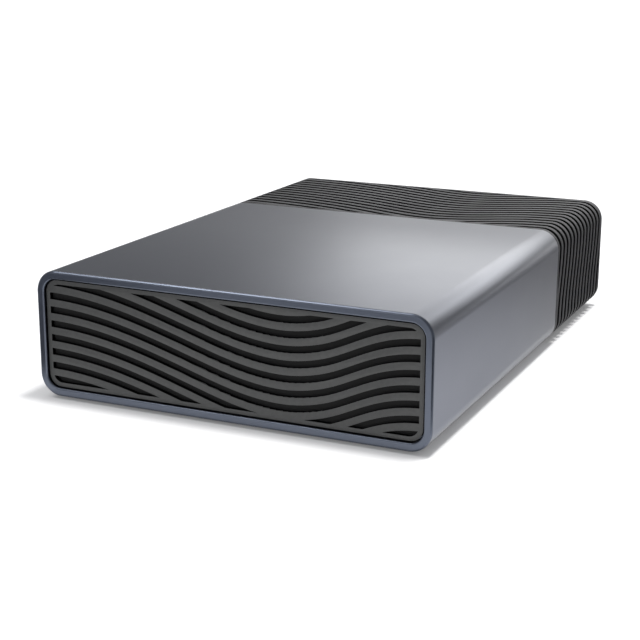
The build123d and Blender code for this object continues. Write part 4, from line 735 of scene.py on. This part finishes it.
stainless_cover = new_material("stainless_cover", (0.58, 0.58, 0.59), metal=1.0, rough=0.3)
vary_colour(stainless_cover, 60, (0.55, 0.55, 0.56), (0.61, 0.61, 0.615))
vary_roughness(stainless_cover, 140, 0.26, 0.36)
grain(stainless_cover, 260, 0.00001, share=0.35, stretch=(18, 1, 1))

machined_steel = new_material("machined_steel", (0.54, 0.54, 0.55), metal=1.0, rough=0.24)
vary_colour(machined_steel, 500, (0.5, 0.5, 0.52), (0.57, 0.57, 0.575))
vary_roughness(machined_steel, 700, 0.18, 0.3)
bump_by(machined_steel, waves_of(machined_steel, 0.0002, along="Z"), 0.000005, 0.4)

yoke_nickel = new_material("yoke_nickel", (0.6, 0.6, 0.575), metal=1.0, rough=0.22)
vary_colour(yoke_nickel, 200, (0.55, 0.55, 0.53), (0.64, 0.635, 0.61))
vary_roughness(yoke_nickel, 300, 0.17, 0.3)
grain(yoke_nickel, 1800, 0.00002, share=0.25)

magnet_nickel = new_material("magnet_nickel", (0.62, 0.61, 0.59), metal=1.0, rough=0.14)
vary_colour(magnet_nickel, 250, (0.57, 0.565, 0.55), (0.66, 0.65, 0.63))
vary_roughness(magnet_nickel, 350, 0.1, 0.2)
grain(magnet_nickel, 1200, 0.00001, share=0.2)
print("castings and plated parts:", cast_aluminium.name, stainless_cover.name, yoke_nickel.name)

# %% [markdown]
# A lathe leaves rings round the axis it turned. The hub, the arm block and the platters are
# turned parts, so one function gives each its rings, centred on its own shaft. The platters are
# polished to a mirror, and theirs are all but gone.

# %% Turned metal
DARK_RING = 0.92


def middle_of(source):
    """The middle of a node's box, in metres."""
    low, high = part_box(source)
    return tuple((low + high) / 2)


def turned_metal(name, colour, centre, rough=0.26, pitch=0.0004, share=0.5):
    """Metal from a lathe: rings round its axis, every other one a little darker."""
    material = new_material(name, colour, metal=1.0, rough=rough)
    rings = waves_of(material, pitch, centre)
    paint_by(material, rings, [DARK_RING * c for c in colour], colour, 0.0, 1.0)
    rough_by(material, noise_of(material, 400), rough - 0.06, rough + 0.08)
    bump_by(material, rings, 0.00001, share)
    return material


SPINDLE, PIVOT = middle_of("spindle_shaft"), middle_of("pivot_shaft")
machined_aluminium = turned_metal("machined_aluminium", (0.64, 0.65, 0.66), SPINDLE)
arm_aluminium = turned_metal("arm_aluminium", (0.62, 0.63, 0.645), PIVOT, pitch=0.0012, share=0.2)
platter_mirror = turned_metal("platter_mirror", (0.74, 0.75, 0.77), SPINDLE, rough=0.09, share=0.04)
print("spindle at", [round(v, 4) for v in SPINDLE], "pivot at", [round(v, 4) for v in PIVOT])
print("turned metals:", machined_aluminium.name, arm_aluminium.name, platter_mirror.name)

# %% [markdown]
# A winding is one long enamelled wire laid in even turns. Modelling every turn would cost more
# faces than the rest of the drive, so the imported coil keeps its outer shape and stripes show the
# wires: rings round the pivot for the flat voice coil, level bands for the motor's coils.

# %% Windings
copper_winding = new_material("copper_winding", (0.5, 0.22, 0.09), metal=1.0, rough=0.3)
wires = waves_of(copper_winding, 0.00024, PIVOT)
paint_by(copper_winding, wires, (0.16, 0.06, 0.02), (0.62, 0.29, 0.13), 0.1, 0.8)
rough_by(copper_winding, noise_of(copper_winding, 900), 0.22, 0.38)
bump_by(copper_winding, wires, 0.00008, 0.8)

stator_winding = new_material("stator_winding", (0.5, 0.22, 0.09), metal=1.0, rough=0.3)
layers = waves_of(stator_winding, 0.0003, along="Z")
paint_by(stator_winding, layers, (0.2, 0.08, 0.03), (0.6, 0.28, 0.12), 0.1, 0.8)
rough_by(stator_winding, noise_of(stator_winding, 900), 0.24, 0.42)
bump_by(stator_winding, layers, 0.00008, 0.8)
print("windings:", copper_winding.name, stator_winding.name)

# %% [markdown]
# A circuit board is green lacquer over copper tracks, with bare tinned pads. A brick pattern's
# joints make a maze of fine tracks, and the nearest-point distance of a Voronoi pattern makes
# round pads. Where there is a pad the surface is metal, so one mask drives colour and metal.

# %% Circuit board
PAD_RADIUS, TRACK_SHARE = 0.2, 0.5
circuit_board = new_material("circuit_board", (0.02, 0.12, 0.05), rough=0.3)
bricks = node(circuit_board, "ShaderNodeTexBrick", Scale=420, Mortar_Size=0.035)
link(circuit_board, place_of(circuit_board), bricks.inputs["Vector"])
spots = cells_of(circuit_board, 480)
pads = math_of(circuit_board, "LESS_THAN", spots.outputs["Distance"], PAD_RADIUS)
tracks = math_of(circuit_board, "MULTIPLY", bricks.outputs["Fac"], TRACK_SHARE)
pattern = math_of(circuit_board, "MAXIMUM", tracks, pads)
board_ramp = paint_by(circuit_board, pattern, (0.012, 0.075, 0.035), (0.62, 0.62, 0.56), 0.0, 1.0)
board_ramp.elements.new(TRACK_SHARE).color = (0.03, 0.16, 0.07, 1)
link(circuit_board, pads, shader_of(circuit_board).inputs["Metallic"])
rough_by(circuit_board, noise_of(circuit_board, 300), 0.24, 0.36)
bump_by(circuit_board, pattern, 0.00003, 0.5)
print("board ramp has", len(board_ramp.elements), "colours")

# %% [markdown]
# Chips are moulded in a matt resin and plugs in glass-filled nylon. Both are black and differ
# mainly in grain: the resin's is even and very fine, the nylon's a little coarser and shinier.

# %% Chips and plugs
chip_resin = new_material("chip_resin", (0.02, 0.02, 0.021), rough=0.5)
vary_colour(chip_resin, 1400, (0.016, 0.016, 0.017), (0.026, 0.026, 0.026))
vary_roughness(chip_resin, 800, 0.44, 0.58)
grain(chip_resin, 7000, 0.00002, share=0.5)

black_nylon = new_material("black_nylon", (0.014, 0.014, 0.015), rough=0.46)
vary_colour(black_nylon, 600, (0.012, 0.012, 0.013), (0.019, 0.019, 0.019))
vary_roughness(black_nylon, 700, 0.4, 0.54)
grain(black_nylon, 4000, 0.00003, share=0.4)
print("chips and plugs:", chip_resin.name, black_nylon.name)

# %% [markdown]
# The carrier is moulded plastic, and the grommets and the cover's seal are rubber, softer and
# duller. The ramp that the heads park on is a waxy cream resin. Light goes a little way into it,
# so it gets a touch of subsurface scattering, which a flat cream colour can't give.

# %% Carrier, rubber and ramp
carrier_plastic = new_material("carrier_plastic", (0.03, 0.03, 0.032), rough=0.55)
vary_colour(carrier_plastic, 250, (0.026, 0.026, 0.028), (0.036, 0.036, 0.037))
vary_roughness(carrier_plastic, 200, 0.48, 0.62)
grain(carrier_plastic, 3500, 0.00005, share=0.5)

grommet_rubber = new_material("grommet_rubber", (0.05, 0.05, 0.056), rough=0.7)
vary_colour(grommet_rubber, 700, (0.044, 0.044, 0.05), (0.058, 0.058, 0.062))
grain(grommet_rubber, 3000, 0.00005, share=0.5)

gasket_rubber = new_material("gasket_rubber", (0.028, 0.028, 0.028), rough=0.8)
vary_colour(gasket_rubber, 900, (0.022, 0.022, 0.022), (0.036, 0.036, 0.035))
grain(gasket_rubber, 2200, 0.0001, share=0.6)

ramp_resin = new_material("ramp_resin", (0.6, 0.54, 0.4), rough=0.42)
vary_colour(ramp_resin, 400, (0.56, 0.5, 0.37), (0.63, 0.57, 0.43))
vary_roughness(ramp_resin, 500, 0.36, 0.5)
grain(ramp_resin, 4500, 0.00002, share=0.3)
shader_of(ramp_resin).inputs["Subsurface Weight"].default_value = 0.1
shader_of(ramp_resin).inputs["Subsurface Radius"].default_value = (0.001, 0.0008, 0.0005)
print("carrier, rubber and ramp:", carrier_plastic.name, grommet_rubber.name, gasket_rubber.name)

# %% [markdown]
# The flexible lead is amber film over flat copper tracks, which show through as darker bands. The
# status light has a clear pipe in front of a milky lamp. Clear resin could be glass, but moulded
# pipes are slightly frosted, so it lets most light through and scatters the rest.

# %% Film, light pipe and lamp
amber_film = new_material("amber_film", (0.5, 0.22, 0.03), rough=0.25)
ribbon_tracks = waves_of(amber_film, 0.0008, along="Z")
paint_by(amber_film, ribbon_tracks, (0.52, 0.24, 0.04), (0.4, 0.13, 0.02), 0.3, 0.7)
rough_by(amber_film, noise_of(amber_film, 700), 0.2, 0.34)
bump_by(amber_film, ribbon_tracks, 0.00002, 0.5)

clear_pipe = new_material("clear_pipe", (0.86, 0.9, 0.93), rough=0.12)
shader_of(clear_pipe).inputs["Transmission Weight"].default_value = 0.85
vary_roughness(clear_pipe, 1500, 0.08, 0.2)
grain(clear_pipe, 2500, 0.00001, share=0.3)

lamp_resin = new_material("lamp_resin", (0.8, 0.79, 0.72), rough=0.35)
vary_colour(lamp_resin, 1800, (0.76, 0.75, 0.68), (0.84, 0.83, 0.77))
grain(lamp_resin, 3000, 0.00002, share=0.3)
print("film, pipe and lamp:", amber_film.name, clear_pipe.name, lamp_resin.name)

# %% [markdown]
# The filters are felted cloth, and a foam pad lies under the drive's board. Felt is lumpy, with
# loose fibres that glow at its edges, so it gets a little sheen. Foam is all bubbles: the cell
# pattern's distance is low in the middle of each, which sinks them and paints them darker there,
# a painted shade in each pit.

# %% Filter cloth and foam
filter_cloth = new_material("filter_cloth", (0.78, 0.77, 0.74), rough=0.95)
vary_colour(filter_cloth, 2200, (0.66, 0.65, 0.62), (0.84, 0.83, 0.8))
grain(filter_cloth, 1800, 0.0003, share=0.8)
shader_of(filter_cloth).inputs["Sheen Weight"].default_value = 0.4

foam_grey = new_material("foam_grey", (0.19, 0.19, 0.19), rough=0.95)
bubbles = cells_of(foam_grey, 1800)
# Painted shade: each bubble darker towards its sunken middle.
paint_by(foam_grey, bubbles.outputs["Distance"], (0.08, 0.08, 0.08), (0.24, 0.24, 0.24), 0.05, 0.5)
bump_by(foam_grey, bubbles.outputs["Distance"], 0.0004, 0.8)
print("felt and foam:", filter_cloth.name, foam_grey.name)

# %% [markdown]
# Behind the slots hangs a fine black mesh that keeps dust out. Its threads could be modelled, but
# there are hundreds, and only a dark hint of them shows. Two sets of bands, one across and one
# upwards, multiply into a grid: lighter where two threads cross, dark in the holes.

# %% Dust screen
THREAD_PITCH = 0.0005
dust_screen = new_material("dust_screen", (0.006, 0.006, 0.006), rough=0.8)
shader_of(dust_screen).inputs["Specular IOR Level"].default_value = 0.2
cloth = math_of(dust_screen, "MULTIPLY", waves_of(dust_screen, THREAD_PITCH, along="X"),
                waves_of(dust_screen, THREAD_PITCH, along="Z"))
paint_by(dust_screen, cloth, (0.003, 0.003, 0.003), (0.011, 0.011, 0.011), 0.1, 0.7)
bump_by(dust_screen, cloth, 0.0001, 0.6)
print("dust screen threads in mm:", THREAD_PITCH / MM)

# %% [markdown]
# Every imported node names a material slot, and each material above has the name of one. So the
# pieces that no new mesh stands for could be dressed one by one, but a loop over the packed
# record can't forget any. Two pieces differ from their slot's finish, because their rings or
# windings run another way.

# %% Finishes for every remaining piece
OWN_FINISH = {"actuator_arm_block": arm_aluminium, "spindle_stator": stator_winding}
for (slot, name), piece in rear_pieces.items():
    shade(piece, bpy.data.materials[slot])
shade(contacts, contact_gold)

unchanged = [part for part in frame["record"]["subparts"] if part["node"] not in stood_for]
for part in unchanged:
    slot_finish = bpy.data.materials.get(part["material_slot"])
    shade(nodes[part["node"]], OWN_FINISH.get(part["node"], slot_finish))
print("packed pieces given a finish:", len(unchanged))

# %% [markdown]
# The studio floor is white, and it fades into a white distance with no line between. A brighter
# lamp would do that, but it would wash the drive out too. So the floor glows a little of its own
# light, more with distance, to the camera and to reflections only, and it keeps the drive's
# soft shadow.

# %% Floor
FLOOR_SIZE = 14.0
GLOW_START, GLOW_END = 0.35, 1.0
GLOW_NEAR, GLOW_FAR = 0.13, 0.9
bpy.ops.object.select_all(action="DESELECT")
bpy.ops.mesh.primitive_plane_add(size=FLOOR_SIZE, location=(0, 0, cad_low.z))
floor = bpy.context.object
floor.name = "studio_floor"

floor_paint = new_material("floor_paint", (0.8, 0.8, 0.8), rough=0.9)
shader_of(floor_paint).inputs["Specular IOR Level"].default_value = 0.0
place = node(floor_paint, "ShaderNodeTexCoord")
reach = node(floor_paint, "ShaderNodeVectorMath")
reach.operation = "LENGTH"
glow = node(floor_paint, "ShaderNodeMapRange", From_Min=GLOW_START, From_Max=GLOW_END,
            To_Min=GLOW_NEAR, To_Max=GLOW_FAR)
rays = node(floor_paint, "ShaderNodeLightPath")
link(floor_paint, place.outputs["Object"], reach.inputs[0])
link(floor_paint, reach.outputs["Value"], glow.inputs["Value"])
seen = rays.outputs["Is Camera Ray"]
for ray in ("Is Glossy Ray", "Is Transmission Ray"):
    seen = math_of(floor_paint, "MAXIMUM", seen, rays.outputs[ray])
share = math_of(floor_paint, "MULTIPLY", glow.outputs["Result"], seen)
white = node(floor_paint, "ShaderNodeEmission", Color=(1, 1, 1, 1))
both = node(floor_paint, "ShaderNodeAddShader")
link(floor_paint, share, white.inputs["Strength"])
link(floor_paint, shader_of(floor_paint).outputs[0], both.inputs[0])
link(floor_paint, white.outputs[0], both.inputs[1])
link(floor_paint, both.outputs[0], floor_paint.node_tree.nodes["Material Output"].inputs["Surface"])
shade(floor, floor_paint)
print("floor glow from", GLOW_NEAR, "to", GLOW_FAR)

# %% [markdown]
# Photographers lay black card near shiny metal, so that it mirrors something dark. These lie just
# above the floor and are seen in reflections only. The right side of the sleeve mirrors the side
# card, light near the front and dark towards the rear. The corner card darkens the chamfer down
# the rim's right edge, the front card its upper band, and the left card its left band.

# %% Dark cards
CARD_HEIGHT = 0.001
BLACK, INK, SLATE = (0.02, 0.02, 0.02), (0.05, 0.05, 0.06), (0.14, 0.145, 0.16)
CHARCOAL, PALE, WHITE = (0.17, 0.17, 0.18), (0.7, 0.7, 0.72), (0.94, 0.95, 1.0)
# In metres: name, reach along X, reach along Y, where the tone changes along Y, both tones.
CARDS = (
    ("side_card", (0.062, 0.6), (-0.08, 0.65), (-0.08, 0.13), WHITE, CHARCOAL),
    ("corner_card", (0.074, 0.6), (-0.7, -0.095), (-0.7, -0.095), BLACK, BLACK),
    ("front_card", (-0.9, 0.06), (-0.8, -0.175), (-0.205, -0.175), SLATE, PALE),
    ("left_card", (-0.6, -0.07), (-0.175, -0.095), (-0.175, -0.095), INK, INK),
)
for name, across, along, fading, first_tone, last_tone in CARDS:
    bpy.ops.object.select_all(action="DESELECT")
    bpy.ops.mesh.primitive_plane_add(size=1, location=(sum(across) / 2, sum(along) / 2, CARD_HEIGHT))
    card = bpy.context.object
    card.name = name
    card.scale = (across[1] - across[0], along[1] - along[0], 1)
    bpy.ops.object.transform_apply(location=True, rotation=True, scale=True)
    card.visible_camera = card.visible_diffuse = card.visible_shadow = False
    paper = new_material(name + "_paper", first_tone, rough=0.9)
    axes = node(paper, "ShaderNodeSeparateXYZ")
    fade = node(paper, "ShaderNodeMapRange", From_Min=fading[0], From_Max=fading[1])
    link(paper, place_of(paper), axes.inputs["Vector"])
    link(paper, axes.outputs["Y"], fade.inputs["Value"])
    paint_by(paper, fade.outputs["Result"], first_tone, last_tone, 0.0, 1.0)
    shade(card, paper)
print("cards seen in reflections only:", len(CARDS))

# %% [markdown]
# The lamps are soft boxes, as in a product studio. A small strong one nearly overhead gives the
# main light and the shadow under the front edge. It is left out of reflections, or it would burn a
# white spot into the top, and a wide weak ceiling takes its place there. Two boxes low behind the
# drive are mirrored by the top and its rounded edge, one in front fills the grille, and the last
# draws the bright line along the rim's chamfer. The world adds an even grey light from all round.

# %% Lights


def soft_box(name, azimuth, elevation, distance, size, radiance):
    """A rectangular lamp that faces the drive. Azimuth runs from +Y towards +X, in degrees."""
    data = bpy.data.lights.new(name, "AREA")
    data.shape = "RECTANGLE"
    data.size, data.size_y = size
    data.energy = radiance * math.pi * size[0] * size[1]
    lamp = bpy.data.objects.new(name, data)
    bpy.context.scene.collection.objects.link(lamp)
    a, e = math.radians(azimuth), math.radians(elevation)
    way = Vector((math.sin(a) * math.cos(e), math.cos(a) * math.cos(e), math.sin(e)))
    lamp.location = way * distance
    lamp.rotation_euler = (-way).to_track_quat("-Z", "Y").to_euler()


# Name, azimuth and elevation in degrees, distance and size in metres, radiance
LAMPS = (
    ("key_overhead", 72, 80.5, 1.5, (0.24, 0.24), 96.0),
    ("ceiling", 0, 89, 2.2, (1.7, 1.7), 0.9),
    ("front_fill", 195, 15, 2.0, (1.2, 0.7), 1.25),
    ("rear_soft", 3.6, 28, 1.7, (1.7, 1.1), 1.66),
    ("edge_glow", 4, 23.5, 1.65, (0.9, 0.3), 1.2),
    ("chamfer_line", 238, 58, 1.6, (0.5, 0.3), 10.0),
)
WORLD_GREY = (0.3, 0.304, 0.32)
for lamp in LAMPS:
    soft_box(*lamp)
bpy.data.objects["key_overhead"].visible_glossy = False

world = bpy.data.worlds.new("studio_world")
bpy.context.scene.world = world
world.use_nodes = True
world.node_tree.nodes["Background"].inputs["Color"].default_value = (*WORLD_GREY, 1)
print("lamps:", len(LAMPS))
